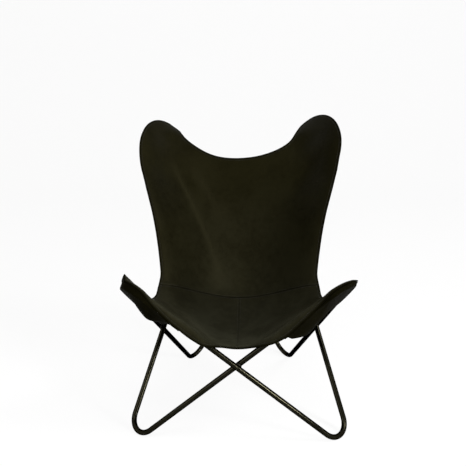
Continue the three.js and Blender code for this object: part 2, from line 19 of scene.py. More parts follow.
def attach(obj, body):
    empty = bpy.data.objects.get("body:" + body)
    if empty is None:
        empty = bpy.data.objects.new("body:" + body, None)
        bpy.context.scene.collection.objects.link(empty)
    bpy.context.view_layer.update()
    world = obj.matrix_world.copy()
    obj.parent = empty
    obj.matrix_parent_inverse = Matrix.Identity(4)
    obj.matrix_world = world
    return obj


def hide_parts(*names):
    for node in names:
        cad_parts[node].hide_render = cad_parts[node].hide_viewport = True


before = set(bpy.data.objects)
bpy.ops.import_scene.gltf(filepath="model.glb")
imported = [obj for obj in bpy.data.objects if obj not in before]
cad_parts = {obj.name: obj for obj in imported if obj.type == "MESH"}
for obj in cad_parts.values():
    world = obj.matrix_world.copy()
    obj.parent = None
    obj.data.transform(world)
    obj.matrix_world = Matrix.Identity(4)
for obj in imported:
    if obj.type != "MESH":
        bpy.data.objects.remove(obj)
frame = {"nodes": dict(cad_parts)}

log = logging.getLogger("sling_chair")

METRES = 0.001
# The part's origin is under the middle of the chair's box, this far from the drawing's origin.
DRAWING_SHIFT = np.array([-2.876, -322.917, 0.0])
LEFT, RIGHT = -1, 1


class Slot(Enum):
    """The record's material slots."""

    ROD = "lacquered_rod"
    SLING = "sling_leather"
    SEAT = "seat_leather"
    HEM = "hem_leather"
    TAPE = "seam_tape"


def side_name(side: int) -> str:
    """The word for a side of the chair."""
    return "left" if side == LEFT else "right"


def smooth(share: np.ndarray | float) -> np.ndarray:
    """An even rise from 0 to 1 with soft ends."""
    held = np.clip(share, 0.0, 1.0)
    return held * held * (3.0 - 2.0 * held)


def hump(distance: np.ndarray, spot: float, width: float) -> np.ndarray:
    """A soft hump of height 1 over a spot."""
    return np.exp(-(((distance - spot) / width) ** 2))


def unit(vectors: np.ndarray) -> np.ndarray:
    """Vectors of length 1."""
    lengths = np.linalg.norm(vectors, axis=-1, keepdims=True)
    return vectors / np.maximum(lengths, 1e-9)


def dot(a: np.ndarray, b: np.ndarray) -> np.ndarray:
    """Scalar products along the last axis."""
    return np.sum(a * b, axis=-1)


def mix(a: np.ndarray | float, b: np.ndarray | float, share: np.ndarray | float) -> np.ndarray:
    """A blend from a to b."""
    return a + (b - a) * share


def place(side: int, half: float, back: float, height: float) -> np.ndarray:
    """A point on one side of the chair."""
    return np.array([side * half, back, height], float)


def gentle_noise(points: np.ndarray, wavelength: float, seed: float) -> np.ndarray:
    """Soft noise between about -1 and 1 at points.

    Args:
        points: Points, millimetres, in an array of any shape with 3 in the last axis.
        wavelength: The size of the noise's swells, millimetres.
        seed: An offset that gives another pattern.

    Returns:
        One value for each point.
    """
    flat = points.reshape(-1, 3) / wavelength + seed
    values = np.array([noise.noise(Vector(point)) for point in flat])
    return values.reshape(points.shape[:-1])


# Meshes


def mesh_object(name: str, points: np.ndarray, faces: Sequence[Sequence[int]]) -> bpy.types.Object:
    """Makes a smooth-shaded mesh object.

    Args:
        name: The piece's name.
        points: Its points, millimetres in the drawing's frame.
        faces: Its faces as point numbers.

    Returns:
        The new object, in the scene.
    """
    mesh = bpy.data.meshes.new(name)
    mesh.from_pydata(((points + DRAWING_SHIFT) * METRES).tolist(), [], [list(face) for face in faces])
    mesh.validate()
    mesh.polygons.foreach_set("use_smooth", [True] * len(mesh.polygons))
    piece = bpy.data.objects.new(name, mesh)
    bpy.context.scene.collection.objects.link(piece)
    return piece


def add_mask(piece: bpy.types.Object, name: str, values: np.ndarray) -> None:
    """Stores one number for each point of a mesh, for its material to read."""
    mask = piece.data.attributes.new(name, "FLOAT", "POINT")
    mask.data.foreach_set("value", values.astype(np.float32).ravel())


def grid_faces(rows: int, columns: int, start: int = 0, flip: bool = False) -> np.ndarray:
    """The four-sided faces of a grid of points.

    Args:
        rows: Rows of points.
        columns: Points in a row.
        start: Number of the grid's first point.
        flip: True to turn the faces round.

    Returns:
        An array with four point numbers for each face.
    """
    numbers = start + np.arange(rows * columns).reshape(rows, columns)
    corners = [numbers[:-1, :-1], numbers[:-1, 1:], numbers[1:, 1:], numbers[1:, :-1]]
    faces = np.stack([corner.ravel() for corner in corners], axis=-1)
    return faces[:, ::-1] if flip else faces


def sheet_object(name: str, upper: np.ndarray, lower: np.ndarray, rim: float) -> bpy.types.Object:
    """Makes a closed sheet with a rounded rim from the grids of its two faces.

    Args:
        name: The piece's name.
        upper: Grid of points on the upper face.
        lower: Grid of points on the lower face.
        rim: How far the rim bulges out halfway between the faces.

    Returns:
        The new object.
    """
    rows, columns = upper.shape[:2]
    count = rows * columns
    numbers = np.arange(count).reshape(rows, columns)
    around = np.concatenate([numbers[0, :-1], numbers[:-1, -1], numbers[-1, :0:-1], numbers[:0:-1, 0]])
    inner = np.concatenate([numbers[1, :-1], numbers[:-1, -2], numbers[-2, :0:-1], numbers[:0:-1, 1]])
    middle = (upper + lower).reshape(-1, 3) / 2
    bulge = middle[around] + unit(middle[around] - middle[inner]) * rim
    faces = [*grid_faces(rows, columns), *grid_faces(rows, columns, count, flip=True)]
    steps = np.arange(len(around))
    ahead = np.roll(steps, -1)
    rims = 2 * count + steps
    faces += np.stack([around[ahead], around, rims, rims[ahead]], axis=-1).tolist()
    faces += np.stack([rims[ahead], rims, count + around, count + around[ahead]], axis=-1).tolist()
    points = np.vstack([upper.reshape(-1, 3), lower.reshape(-1, 3), bulge])
    return mesh_object(name, points, faces)


def swept_object(name: str, rings: np.ndarray, closed: bool) -> bpy.types.Object:
    """Makes a solid from rings of points along a path.

    Args:
        name: The piece's name.
        rings: Points, as rings along the path, points round each ring, and 3.
        closed: True if the last ring meets the first, otherwise the ends are capped.

    Returns:
        The new object.
    """
    count, sides = rings.shape[:2]
    numbers = np.arange(count * sides).reshape(count, sides)
    if closed:
        numbers = np.vstack([numbers, numbers[:1]])
    numbers = np.hstack([numbers, numbers[:, :1]])
    corners = [numbers[:-1, :-1], numbers[:-1, 1:], numbers[1:, 1:], numbers[1:, :-1]]
    faces = np.stack([corner.ravel() for corner in corners], axis=-1).tolist()
    if not closed:
        faces += [list(range(sides))[::-1], list(range((count - 1) * sides, count * sides))]
    return mesh_object(name, rings.reshape(-1, 3), faces)


# Curves


class SmoothLine:
    """A smooth curve through points, read by shares of its length."""

    STEPS = 160

    def __init__(
        self,
        points: Sequence[np.ndarray],
        before: np.ndarray | None = None,
        after: np.ndarray | None = None,
    ) -> None:
        """Lays the curve.

        Args:
            points: The points that it goes through.
            before: A point that the curve would come from, so that it goes on smoothly from another line.
            after: A point that it would go on to.
        """
        knots = np.asarray(points, float)
        before = 2 * knots[0] - knots[1] if before is None else before
        after = 2 * knots[-1] - knots[-2] if after is None else after
        ends = np.vstack([before, knots, after])
        spans = [self._span(ends[i : i + 4]) for i in range(len(knots) - 1)]
        self.line = np.vstack([*spans, knots[-1:]])
        steps = np.linalg.norm(np.diff(self.line, axis=0), axis=1)
        lengths = np.concatenate([[0.0], np.cumsum(steps)])
        self.length = float(lengths[-1])
        self.shares = lengths / self.length

    def _span(self, four: np.ndarray) -> np.ndarray:
        """Points of the span between the middle two of four points, whose speed follows their distances."""
        before, start, end, after = four
        gaps = np.sum(np.diff(four, axis=0) ** 2, axis=1) ** 0.25
        leave = (start - before) / gaps[0] - (end - before) / (gaps[0] + gaps[1]) + (end - start) / gaps[1]
        arrive = (end - start) / gaps[1] - (after - start) / (gaps[1] + gaps[2]) + (after - end) / gaps[2]
        s = np.linspace(0.0, 1.0, self.STEPS, endpoint=False)[:, None]
        rise = smooth(s)
        out = (s**3 - 2 * s**2 + s) * leave * gaps[1]
        back = (s**3 - s**2) * arrive * gaps[1]
        return mix(start, end, rise) + out + back

    def at(self, shares: np.ndarray) -> np.ndarray:
        """Points at shares of the length from 0 to 1."""
        return np.stack([np.interp(shares, self.shares, self.line[:, k]) for k in range(3)], axis=-1)

    def share_of_knot(self, number: int) -> float:
        """The share of the length at one of the points that the curve goes through."""
        return float(self.shares[number * self.STEPS])


# Frame of two rod loops


@dataclass(frozen=True)
class Corner:
    """Where two straight runs of a rod would meet, and the radius that it is bent to there."""

    half: float
    back: float
    height: float
    radius: float


@dataclass(frozen=True)
class Bend:
    """One bend of a rod: an arc in the plane of axis and along, with its outermost point on the axis."""

    center: np.ndarray
    axis: np.ndarray
    along: np.ndarray
    radius: float
    turn: float
    corner: np.ndarray
    ahead: np.ndarray

    @classmethod
    def between(cls, before: np.ndarray, corner: np.ndarray, after: np.ndarray, radius: float) -> "Bend":
        """The bend of a radius at a corner, on the way from one corner to the next."""
        back, ahead = unit(before - corner), unit(after - corner)
        turn = math.pi - math.acos(float(dot(back, ahead)))
        inward = unit(back + ahead)
        center = corner + inward * radius / math.cos(turn / 2)
        return cls(center, -inward, unit(ahead - back), radius, turn, corner, ahead)

    def point(self, angle: float, reach: float = 0.0) -> np.ndarray:
        """The point at an angle from the outermost point, a reach outside the rod's middle line."""
        direction = math.cos(angle) * self.axis + math.sin(angle) * self.along
        return self.center + (self.radius + reach) * direction

    def points(self, step: float) -> np.ndarray:
        """Points along the bend, about a step apart (radians)."""
        count = math.ceil(self.turn / step)
        return np.array([self.point(self.turn * (k / count - 0.5)) for k in range(count + 1)])

    def facing(self) -> np.ndarray:
        """The direction in which the bend's flat side looks at the sitter."""
        sitter = np.array([0.0, 250.0, 600.0])
        facing = unit(np.cross(self.axis, self.along))
        return facing if dot(facing, sitter - self.point(0.0)) > 0 else -facing


@dataclass
class RodLoop:
    """One closed loop of rod: its corners in order, and the bends at them."""

    corners: np.ndarray
    radii: list[float]
    bends: list[Bend] = field(init=False)

    REAR_TIP, ELBOW, FRONT_FOOT, FRONT_TIP, REAR_FOOT = range(5)

    def __post_init__(self) -> None:
        """Bends the rod at each corner."""
        before, after = np.roll(self.corners, 1, axis=0), np.roll(self.corners, -1, axis=0)
        self.bends = [Bend.between(*spots) for spots in zip(before, self.corners, after, self.radii)]

    def path(self, step_degrees: float) -> np.ndarray:
        """The rod's middle line as points, which are a step apart in the bends."""
        return np.vstack([bend.points(math.radians(step_degrees)) for bend in self.bends])


@dataclass
class RodFrame:
    """The chair's frame: two loops of round steel rod that cross, with a weld bead at each crossing."""

    rod_diameter: float = 15.0
    crossing_gap: float = 0.3
    foot_flat_depth: float = 0.8
    parting_allowance: float = 1.012
    front_foot: Corner = Corner(354, 0, -48, 53)
    rear_foot: Corner = Corner(178, 578, -33, 53)
    front_tip: Corner = Corner(340, -52, 544, 50)
    rear_tip: Corner = Corner(400, 735, 1128, 78)
    elbow: Corner = Corner(230, 299, 339, 100)
    elbow_play: float = 60.0
    # The rod looks thicker in the photo than that of the solids, so this is added to its radius.
    added_radius: float = 0.8
    rod_sides: int = 32
    bend_step: float = 3.0
    bead_radius: float = 11.5
    bead_half_thickness: float = 6.5
    bead_ripples: int = 9
    ripple_depth: float = 0.55
    loops: dict[int, RodLoop] = field(init=False)

    def __post_init__(self) -> None:
        """Lays the two loops."""
        self.radius = self.rod_diameter / 2
        self.loops = {side: self._loop(side, self._elbow_half(side)) for side in (LEFT, RIGHT)}

    def _loop(self, side: int, elbow_half: float) -> RodLoop:
        """The loop whose leg stands at a side's front foot, set down on the floor."""
        apart = (self.rod_diameter + self.crossing_gap) / 2 * self.parting_allowance
        parting = np.array([0.0, -side * apart, 0.0])
        spots = [
            (side, self.rear_tip),
            (side, Corner(elbow_half, self.elbow.back, self.elbow.height, self.elbow.radius)),
            (side, self.front_foot),
            (-side, self.front_tip),
            (-side, self.rear_foot),
        ]
        corners = np.array([place(way, spot.half, spot.back, spot.height) for way, spot in spots]) + parting
        radii = [spot.radius for _, spot in spots]
        settling_passes, fine_step = 8, math.radians(1.0)
        for _ in range(settling_passes):
            loop = RodLoop(corners, radii)
            for foot in (RodLoop.FRONT_FOOT, RodLoop.REAR_FOOT):
                lowest = loop.bends[foot].points(fine_step)[:, 2].min()
                corners[foot, 2] += self.radius - self.foot_flat_depth - lowest
        return RodLoop(corners, radii)

    def _clearance(self, side: int, elbow_half: float) -> float:
        """How far outside a loop's leg the other loop's arm passes it, from middle line to middle line."""
        own, other = self._loop(side, elbow_half).corners, self._loop(-side, elbow_half).corners
        foot, arm_end = own[RodLoop.FRONT_FOOT], other[RodLoop.REAR_FOOT]
        across = unit(np.cross(own[RodLoop.ELBOW] - foot, other[RodLoop.FRONT_TIP] - arm_end))
        return float(np.sign(across[0]) * side * dot(arm_end - foot, across))

    def _elbow_half(self, side: int) -> float:
        """The elbow's half span at which the leg just passes the other loop's arm."""
        inner, outer = self.elbow.half - self.elbow_play, self.elbow.half + self.elbow_play
        halvings = 24
        for _ in range(halvings):
            trial = (inner + outer) / 2
            if self._clearance(side, trial) > self.rod_diameter + self.crossing_gap:
                inner = trial
            else:
                outer = trial
        return inner

    def front_bow(self, side: int) -> Bend:
        """The upper bend that holds a front corner of the sling."""
        return self.loops[-side].bends[RodLoop.FRONT_TIP]

    def rear_bow(self, side: int) -> Bend:
        """The upper bend that holds a rear corner of the sling."""
        return self.loops[side].bends[RodLoop.REAR_TIP]

    def middle_line(self, side: int, pitch: float = 4.0) -> np.ndarray:
        """Close points along the middle of a loop's rod."""
        path = self.loops[side].path(self.bend_step)
        path = np.vstack([path, path[:1]])
        lengths = np.concatenate([[0.0], np.cumsum(np.linalg.norm(np.diff(path, axis=0), axis=1))])
        spots = np.arange(0.0, lengths[-1], pitch)
        return np.stack([np.interp(spots, lengths, path[:, k]) for k in range(3)], axis=-1)

    def runs(self, step_degrees: float = 8.0) -> np.ndarray:
        """All short straight runs of both rods, as their starts and ends."""
        paths = [loop.path(step_degrees) for loop in self.loops.values()]
        return np.vstack([np.stack([path, np.roll(path, -1, axis=0)], axis=1) for path in paths])

    def build(self, lacquer: bpy.types.Material, bead_lacquer: bpy.types.Material) -> list[bpy.types.Object]:
        """Makes the rods and the weld beads.

        Args:
            lacquer: The rods' finish.
            bead_lacquer: The beads' finish.

        Returns:
            The new pieces.
        """
        made = []
        for side, loop in self.loops.items():
            rod = self._rod(f"rod_loop_{side_name(side)}", loop)
            made.append(dress(rod, lacquer, Slot.ROD, f"frame_rod_{side_name(side)}"))
        for name, (own_run, other_run) in self._crossings().items():
            bead = self._bead(f"weld_bead_{name}", own_run, other_run)
            made.append(dress(bead, bead_lacquer, Slot.ROD, f"weld_{name}"))
        return made

    def _rod(self, name: str, loop: RodLoop) -> bpy.types.Object:
        """A round rod along a loop, ground flat where it stands on the floor."""
        path = loop.path(self.bend_step)
        chords = unit(np.roll(path, -1, axis=0) - path)
        tangents = unit(chords + np.roll(chords, 1, axis=0))
        sideways = [unit(np.cross([0.0, 0.0, 1.0], tangents[0]))]
        for tangent in [*tangents[1:], tangents[0]]:
            sideways.append(unit(sideways[-1] - dot(sideways[-1], tangent) * tangent))
        end = sideways.pop()
        missing = math.atan2(dot(np.cross(end, sideways[0]), tangents[0]), dot(end, sideways[0]))
        twist = np.linspace(0.0, missing, len(path), endpoint=False)
        angles = twist[:, None] + np.linspace(0.0, 2 * math.pi, self.rod_sides, endpoint=False)
        sideways = np.array(sideways)
        up = np.cross(tangents, sideways)
        ring = np.cos(angles)[..., None] * sideways[:, None] + np.sin(angles)[..., None] * up[:, None]
        rings = path[:, None] + (self.radius + self.added_radius) * ring
        rings[..., 2] = np.maximum(rings[..., 2], 0.0)
        return swept_object(name, rings, closed=True)

    def _crossings(self) -> dict[str, tuple[np.ndarray, np.ndarray]]:
        """The pairs of straight runs that cross, by the names of the weld beads."""

        def run(side: int, start: int, end: int) -> np.ndarray:
            """The corners at the ends of a straight run."""
            return self.loops[side].corners[[start, end]]

        front = [run(side, RodLoop.FRONT_FOOT, RodLoop.FRONT_TIP) for side in (LEFT, RIGHT)]
        rear = [run(side, RodLoop.REAR_FOOT, RodLoop.REAR_TIP) for side in (LEFT, RIGHT)]
        legs = {side: run(side, RodLoop.ELBOW, RodLoop.FRONT_FOOT) for side in (LEFT, RIGHT)}
        arms = {side: run(-side, RodLoop.FRONT_TIP, RodLoop.REAR_FOOT) for side in (LEFT, RIGHT)}
        sides = {side_name(side): (legs[side], arms[side]) for side in (LEFT, RIGHT)}
        return {"front": tuple(front), "rear": tuple(rear), **sides}

    def _bead(self, name: str, own_run: np.ndarray, other_run: np.ndarray) -> bpy.types.Object:
        """A weld bead with laid ripples, in the angle between two crossing runs."""
        own, other = own_run[1] - own_run[0], other_run[1] - other_run[0]
        apart = other_run[0] - own_run[0]
        shares = np.linalg.solve(
            [[dot(own, own), -dot(own, other)], [dot(own, other), -dot(other, other)]],
            [dot(apart, own), dot(apart, other)],
        )
        on_own, on_other = own_run[0] + shares[0] * own, other_run[0] + shares[1] * other
        axis = unit(on_other - on_own)
        first = unit(own)
        second = np.cross(axis, first)
        rings, sides, pole_share = 14, 48, 0.97
        rise = np.linspace(-0.5, 0.5, rings)[:, None] * math.pi * pole_share
        turn = np.linspace(0.0, 2 * math.pi, sides, endpoint=False)[None, :]
        waves = np.cos(self.bead_ripples * turn + 2 * np.sin(turn))
        ripple = 1 + self.ripple_depth / self.bead_radius * waves
        reach = self.bead_radius * np.cos(rise) * mix(1.0, ripple, np.cos(rise) ** 2)
        level = self.bead_half_thickness * np.sin(rise) * np.ones_like(turn)
        flat = np.cos(turn)[..., None] * first + np.sin(turn)[..., None] * second
        points = (on_own + on_other) / 2 + reach[..., None] * flat + level[..., None] * axis
        return swept_object(name, points, closed=False)


# Shape of the sling


@dataclass(frozen=True)
class BowSpot:
    """A place of the leather's edge round a bend of the rod.

    It has an angle from the outermost point, positive to the outer side, a reach past the rod's middle line,
    and a distance by which it stands in front of that line.
    """

    degrees: float
    reach: float
    lift: float


@dataclass(frozen=True)
class RearLobe:
    """The leather's edge round a rear tip of the frame.

    Its places run from the top edge to the tip (inside), lie on the tip, and run from the side edge to the
    tip (outside).
    """

    inside: tuple[BowSpot, ...]
    tip: BowSpot
    outside: tuple[BowSpot, ...]


@dataclass(frozen=True)
class Crease:
    """A crease of the back, which sinks away from the sitter.

    It runs from one place to another (half span, height), and has a depth and the widths of its sides and of
    its rounded bottom.
    """

    side: int
    start: tuple[float, float]
    end: tuple[float, float]
    depth: float
    width: float
    bottom: float = 7.0

    def push(self, points: np.ndarray) -> np.ndarray:
        """How far the crease moves the leather at points, which is negative because it sinks."""
        start = np.array([self.side * self.start[0], self.start[1]])
        run = np.array([self.side * self.end[0], self.end[1]]) - start
        offset = points[..., [0, 2]] - start
        length = np.linalg.norm(run)
        share = np.clip(offset @ run / length**2, 0.0, 1.0)
        away = (offset[..., 0] * run[1] - offset[..., 1] * run[0]) / length
        slope = np.clip(1.0 - np.hypot(away, self.bottom) / self.width, 0.0, 1.0)
        return -self.depth * np.sin(math.pi * share) * slope**1.5


@dataclass(frozen=True)
class Settling:
    """A shift of the leather round a place, because a used sling hangs a little unevenly on its frame."""

    spot: tuple[float, float, float]
    shift: tuple[float, float, float]
    reach: float

    def move(self, points: np.ndarray) -> np.ndarray:
        """The shift at points, which fades out at the reach."""
        away = np.linalg.norm(points - np.array(self.spot), axis=-1) / self.reach
        return smooth(1.0 - away)[..., None] * np.array(self.shift)


@dataclass(frozen=True)
class FlapDrop:
    """How far a line of the front flap lies forward of and below the line that it hangs from."""

    forward: float
    drop: float


@dataclass
class SlingShape:
    """The hung shape of the leather, as the middle between its two faces.

    u runs from -1 at the left edge to 1 at the right edge. v runs from -1 at the front hem over 0 where the
    seat lies on the frame's arms and 1 at the seam between seat and back to 2 at the top edge.
    """

    frame: RodFrame
    thickness: float = 3.0
    front_tip_edge: BowSpot = BowSpot(0, 22, 5)
    front_tip_inside: BowSpot = BowSpot(-50, 14, 11)
    front_tip_outside: BowSpot = BowSpot(50, 17, 8)
    left_lobe: RearLobe = RearLobe(
        inside=(BowSpot(-60, 27, 6), BowSpot(-32, 17.5, 4)),
        tip=BowSpot(0, 11, 4),
        outside=(BowSpot(80, 35.5, 6), BowSpot(40, 13.5, 5)),
    )
    right_lobe: RearLobe = RearLobe(
        inside=(BowSpot(-62, 57, 6), BowSpot(-32, 39, 4)),
        tip=BowSpot(0, 24.5, 3),
        outside=(BowSpot(80, 33.5, 6), BowSpot(40, 19, 4)),
    )
    beside_arm_share: float = 0.15
    beside_arm_reach: float = 16.0
    beside_arm_lift: float = 9.0
    side_places: tuple[tuple[float, float, float], ...] = (
        (286, 130, 404),
        (270, 190, 378),
        (256, 255, 386),
        (256, 292, 408),
        (268, 345, 488),
        (288, 392, 589),
        (320, 452, 692),
        (344, 505, 772),
    )
    side_seam_place: int = 3
    middle_places: tuple[tuple[float, float], ...] = (
        (-6, 305),
        (110, 268),
        (235, 259),
        (330, 278),
        (385, 305),
        (450, 372),
        (525, 490),
        (592, 625),
        (645, 751),
    )
    middle_seam_place: int = 4
    front_near: tuple[float, float, float] = (45, -11, 313)
    arm_shares: tuple[float, ...] = (0.64, 0.7, 0.78, 0.86)
    arm_lift: float = 14.0
    top_places: tuple[tuple[float, float, float], ...] = ((96, 651, 765), (176, 664, 802))
    bowl_power: float = 1.4
    free_flap: tuple[FlapDrop, FlapDrop] = (FlapDrop(22, -6), FlapDrop(11, -3))
    arm_flap: tuple[FlapDrop, FlapDrop] = (FlapDrop(20, 30), FlapDrop(9, 3.5))
    tip_flap: tuple[FlapDrop, FlapDrop] = (FlapDrop(3, 3), FlapDrop(1.5, 1.5))
    flap_meets_arm: float = 30.0
    flap_on_arm: float = 150.0
    flap_leaves_arm: float = 120.0
    rod_stand_off: float = 1.0
    lay_width: float = 24.0
    leave_width: float = 30.0
    creases: tuple[Crease, ...] = (
        Crease(LEFT, (282, 842), (36, 328), 12.0, 60.0),
        Crease(LEFT, (205, 782), (62, 590), 4.0, 32.0),
    )

    def __post_init__(self) -> None:
        """Lays the edges and the middle line."""
        self.rod_runs = self.frame.runs()
        self.lobes = {LEFT: self.left_lobe, RIGHT: self.right_lobe}
        middle = [place(0, 0, *spot) for spot in self.middle_places]
        self.middle = self._seamed(SmoothLine(middle), self.middle_seam_place)
        self.side = {side: self._side_edge(side) for side in (LEFT, RIGHT)}
        self.front = {side: self._front_line(side) for side in (LEFT, RIGHT)}
        self.top = {side: self._top_line(side) for side in (LEFT, RIGHT)}

    @staticmethod
    def _seamed(line: SmoothLine, seam: int) -> Callable[[np.ndarray], np.ndarray]:
        """A smooth line read from 0 at its start over 1 at its seam point to 2 at its end."""
        seam_share = line.share_of_knot(seam)
        return lambda v: line.at(np.interp(v, [0.0, 1.0, 2.0], [0.0, seam_share, 1.0]))

    @staticmethod
    def _round(bow: Bend, spot: BowSpot) -> np.ndarray:
        """A place of the leather's edge round a bend."""
        return bow.point(math.radians(spot.degrees), spot.reach) + bow.facing() * spot.lift

    def _side_edge(self, side: int) -> Callable[[np.ndarray], np.ndarray]:
        """The side edge, from the front tip beside the arm and up the back to the rear tip."""
        bow, rear = self.frame.front_bow(side), self.frame.rear_bow(side)
        corners = self.frame.loops[-side].corners
        arm_length = np.linalg.norm(corners[RodLoop.FRONT_TIP] - corners[RodLoop.REAR_FOOT])
        outward = unit(np.cross(bow.facing(), bow.ahead))
        outward = outward if dot(outward, bow.along) > 0 else -outward
        beside = bow.corner + bow.ahead * arm_length * self.beside_arm_share
        beside = beside + outward * self.beside_arm_reach + bow.facing() * self.beside_arm_lift
        start = [self._round(bow, spot) for spot in (self.front_tip_edge, self.front_tip_outside)] + [beside]
        lobe = self.lobes[side]
        ends = [self._round(rear, spot) for spot in (*lobe.outside, lobe.tip)]
        places = [place(side, *spot) for spot in self.side_places]
        before, after = self._round(bow, self.front_tip_inside), self._round(rear, lobe.inside[-1])
        line = SmoothLine([*start, *places, *ends], before, after)
        return self._seamed(line, len(start) + self.side_seam_place)

    def _front_line(self, side: int) -> SmoothLine:
        """The line on which the front of the seat lies: free in the middle, then on the arm up to the tip."""
        bow, corners = self.frame.front_bow(side), self.frame.loops[-side].corners
        inner, outer = corners[RodLoop.FRONT_FOOT], corners[RodLoop.FRONT_TIP]
        on_arm = [mix(inner, outer, share) + [0.0, 0.0, self.arm_lift] for share in self.arm_shares]
        tip = [self._round(bow, spot) for spot in (self.front_tip_inside, self.front_tip_edge)]
        middle, near = place(0, 0, *self.middle_places[0]), place(side, *self.front_near)
        before, after = place(-side, *self.front_near), self._round(bow, self.front_tip_outside)
        return SmoothLine([middle, near, *on_arm, *tip], before, after)

    def _top_line(self, side: int) -> SmoothLine:
        """The top edge from its dip in the middle to the rear tip."""
        bow, lobe = self.frame.rear_bow(side), self.lobes[side]
        places = [place(side, *spot) for spot in self.top_places]
        ends = [self._round(bow, spot) for spot in (*lobe.inside, lobe.tip)]
        before, after = place(-side, *self.top_places[0]), self._round(bow, lobe.outside[-1])
        return SmoothLine([place(0, 0, *self.middle_places[-1]), *places, *ends], before, after)

    def _by_side(self, u: np.ndarray, read: Callable[[int], np.ndarray]) -> np.ndarray:
        """Values read from the left line where u is negative and from the right line elsewhere."""
        return np.where((u < 0)[..., None], read(LEFT), read(RIGHT))

    def _bowl(self, u: np.ndarray, v: np.ndarray) -> np.ndarray:
        """Sections that hang between the side edges as shallow bowls and lie flat along the edges."""
        edge = self._by_side(u, lambda side: self.side[side](v))
        share = 1.0 - np.maximum(1.0 - u * u, 0.0) ** self.bowl_power
        points = mix(self.middle(v), edge, share[..., None])
        points[..., 0] = edge[..., 0] * np.abs(u)
        return points

    def _drawn(self, u: np.ndarray, v: np.ndarray) -> np.ndarray:
        """The bowl, pulled to the front line and to the top line."""
        front_line = self._by_side(u, lambda side: self.front[side].at(np.abs(u)))
        top_line = self._by_side(u, lambda side: self.top[side].at(np.abs(u)))
        pull_front = front_line - self._bowl(u, np.zeros_like(v))
        pull_top = top_line - self._bowl(u, np.full_like(v, 2.0))
        front = np.where(v < 1.0, (1.0 - v) ** 2, 0.0)[..., None]
        top = np.where(v < 1.0, 0.0, (v - 1.0) ** 3)[..., None]
        return self._bowl(u, v) + pull_front * front + pull_top * top

    def _facing(self, u: np.ndarray, v: np.ndarray) -> np.ndarray:
        """The direction that the leather faces, taken a little inside the edges, which meet at the tips."""
        step, inset = 0.01, 0.03
        u, v = np.clip(u, inset - 1, 1 - inset), np.clip(v, inset, 2 - inset)
        across = self._drawn(u + step, v) - self._drawn(u - step, v)
        upward = self._drawn(u, v + step) - self._drawn(u, v - step)
        return unit(np.cross(across, upward))

    def _flap(self, u: np.ndarray, w: np.ndarray) -> np.ndarray:
        """The rounded flap that hangs from the front line, with w from 0 at the hem to 1 on the line."""
        line = self._drawn(u, np.zeros_like(u))
        half = np.abs(line[..., 0])
        tip_half = abs(self.front[RIGHT].at(np.array(1.0))[0])
        on_arm = smooth((half - self.flap_meets_arm) / (self.flap_on_arm - self.flap_meets_arm))
        at_tip = smooth((half - self.flap_leaves_arm) / (tip_half - self.flap_leaves_arm))

        def hung(number: int) -> np.ndarray:
            """The hem (0) or the shoulder over the arm (1)."""
            spots = (self.free_flap[number], self.arm_flap[number], self.tip_flap[number])
            forward = mix(mix(spots[0].forward, spots[1].forward, on_arm), spots[2].forward, at_tip)
            drop = mix(mix(spots[0].drop, spots[1].drop, on_arm), spots[2].drop, at_tip)
            return line - np.stack([np.zeros_like(half), forward, drop], axis=-1)

        hem, shoulder = hung(0), hung(1)
        low = mix(hem, shoulder, np.clip(2 * w, 0, 1)[..., None])
        return np.where((w < 0.5)[..., None], low, mix(shoulder, line, np.clip(2 * w - 1, 0, 1)[..., None]))

    def lift_over_rods(self, points: np.ndarray, facing: np.ndarray) -> np.ndarray:
        """How far the leather has to move the way that it faces, to lie over the rods behind it."""
        clear = self.frame.radius + self.rod_stand_off + self.thickness / 2
        reach = 2 * (self.lay_width + self.leave_width)
        starts, runs = self.rod_runs[:, 0], self.rod_runs[:, 1] - self.rod_runs[:, 0]
        flat_points, flat_facing = points.reshape(-1, 3), facing.reshape(-1, 3)
        lift = np.zeros(len(flat_points))
        for start, run in zip(starts, runs):
            share = np.clip((flat_points - start) @ run / dot(run, run), 0.0, 1.0)
            offset = flat_points - start - share[:, None] * run
            near = np.flatnonzero(np.linalg.norm(offset, axis=1) < reach)
            height = dot(offset[near], flat_facing[near])
            aside = np.linalg.norm(offset[near] - height[:, None] * flat_facing[near], axis=1)
            fade = smooth(1 - (aside - self.lay_width) / self.leave_width)
            lift[near] = np.maximum(lift[near], (clear - height) * fade)
        return lift.reshape(points.shape[:-1])

    def at(self, u: np.ndarray, v: np.ndarray) -> np.ndarray:
        """Points of the hung leather.

        Args:
            u: Places across the sling.
            v: Places along the sling, of the same shape as u.

        Returns:
            Points, millimetres.
        """
        facing = self._facing(u, v)
        points = self._drawn(u, np.maximum(v, 0.0))
        sunk = np.where(v > 1.0, sum(crease.push(points) for crease in self.creases), 0.0)
        points = points + facing * sunk[..., None]
        points = points + facing * self.lift_over_rods(points, facing)[..., None]
        return np.where((v < 0)[..., None], self._flap(u, np.clip(1 + v, 0, 1)), points)


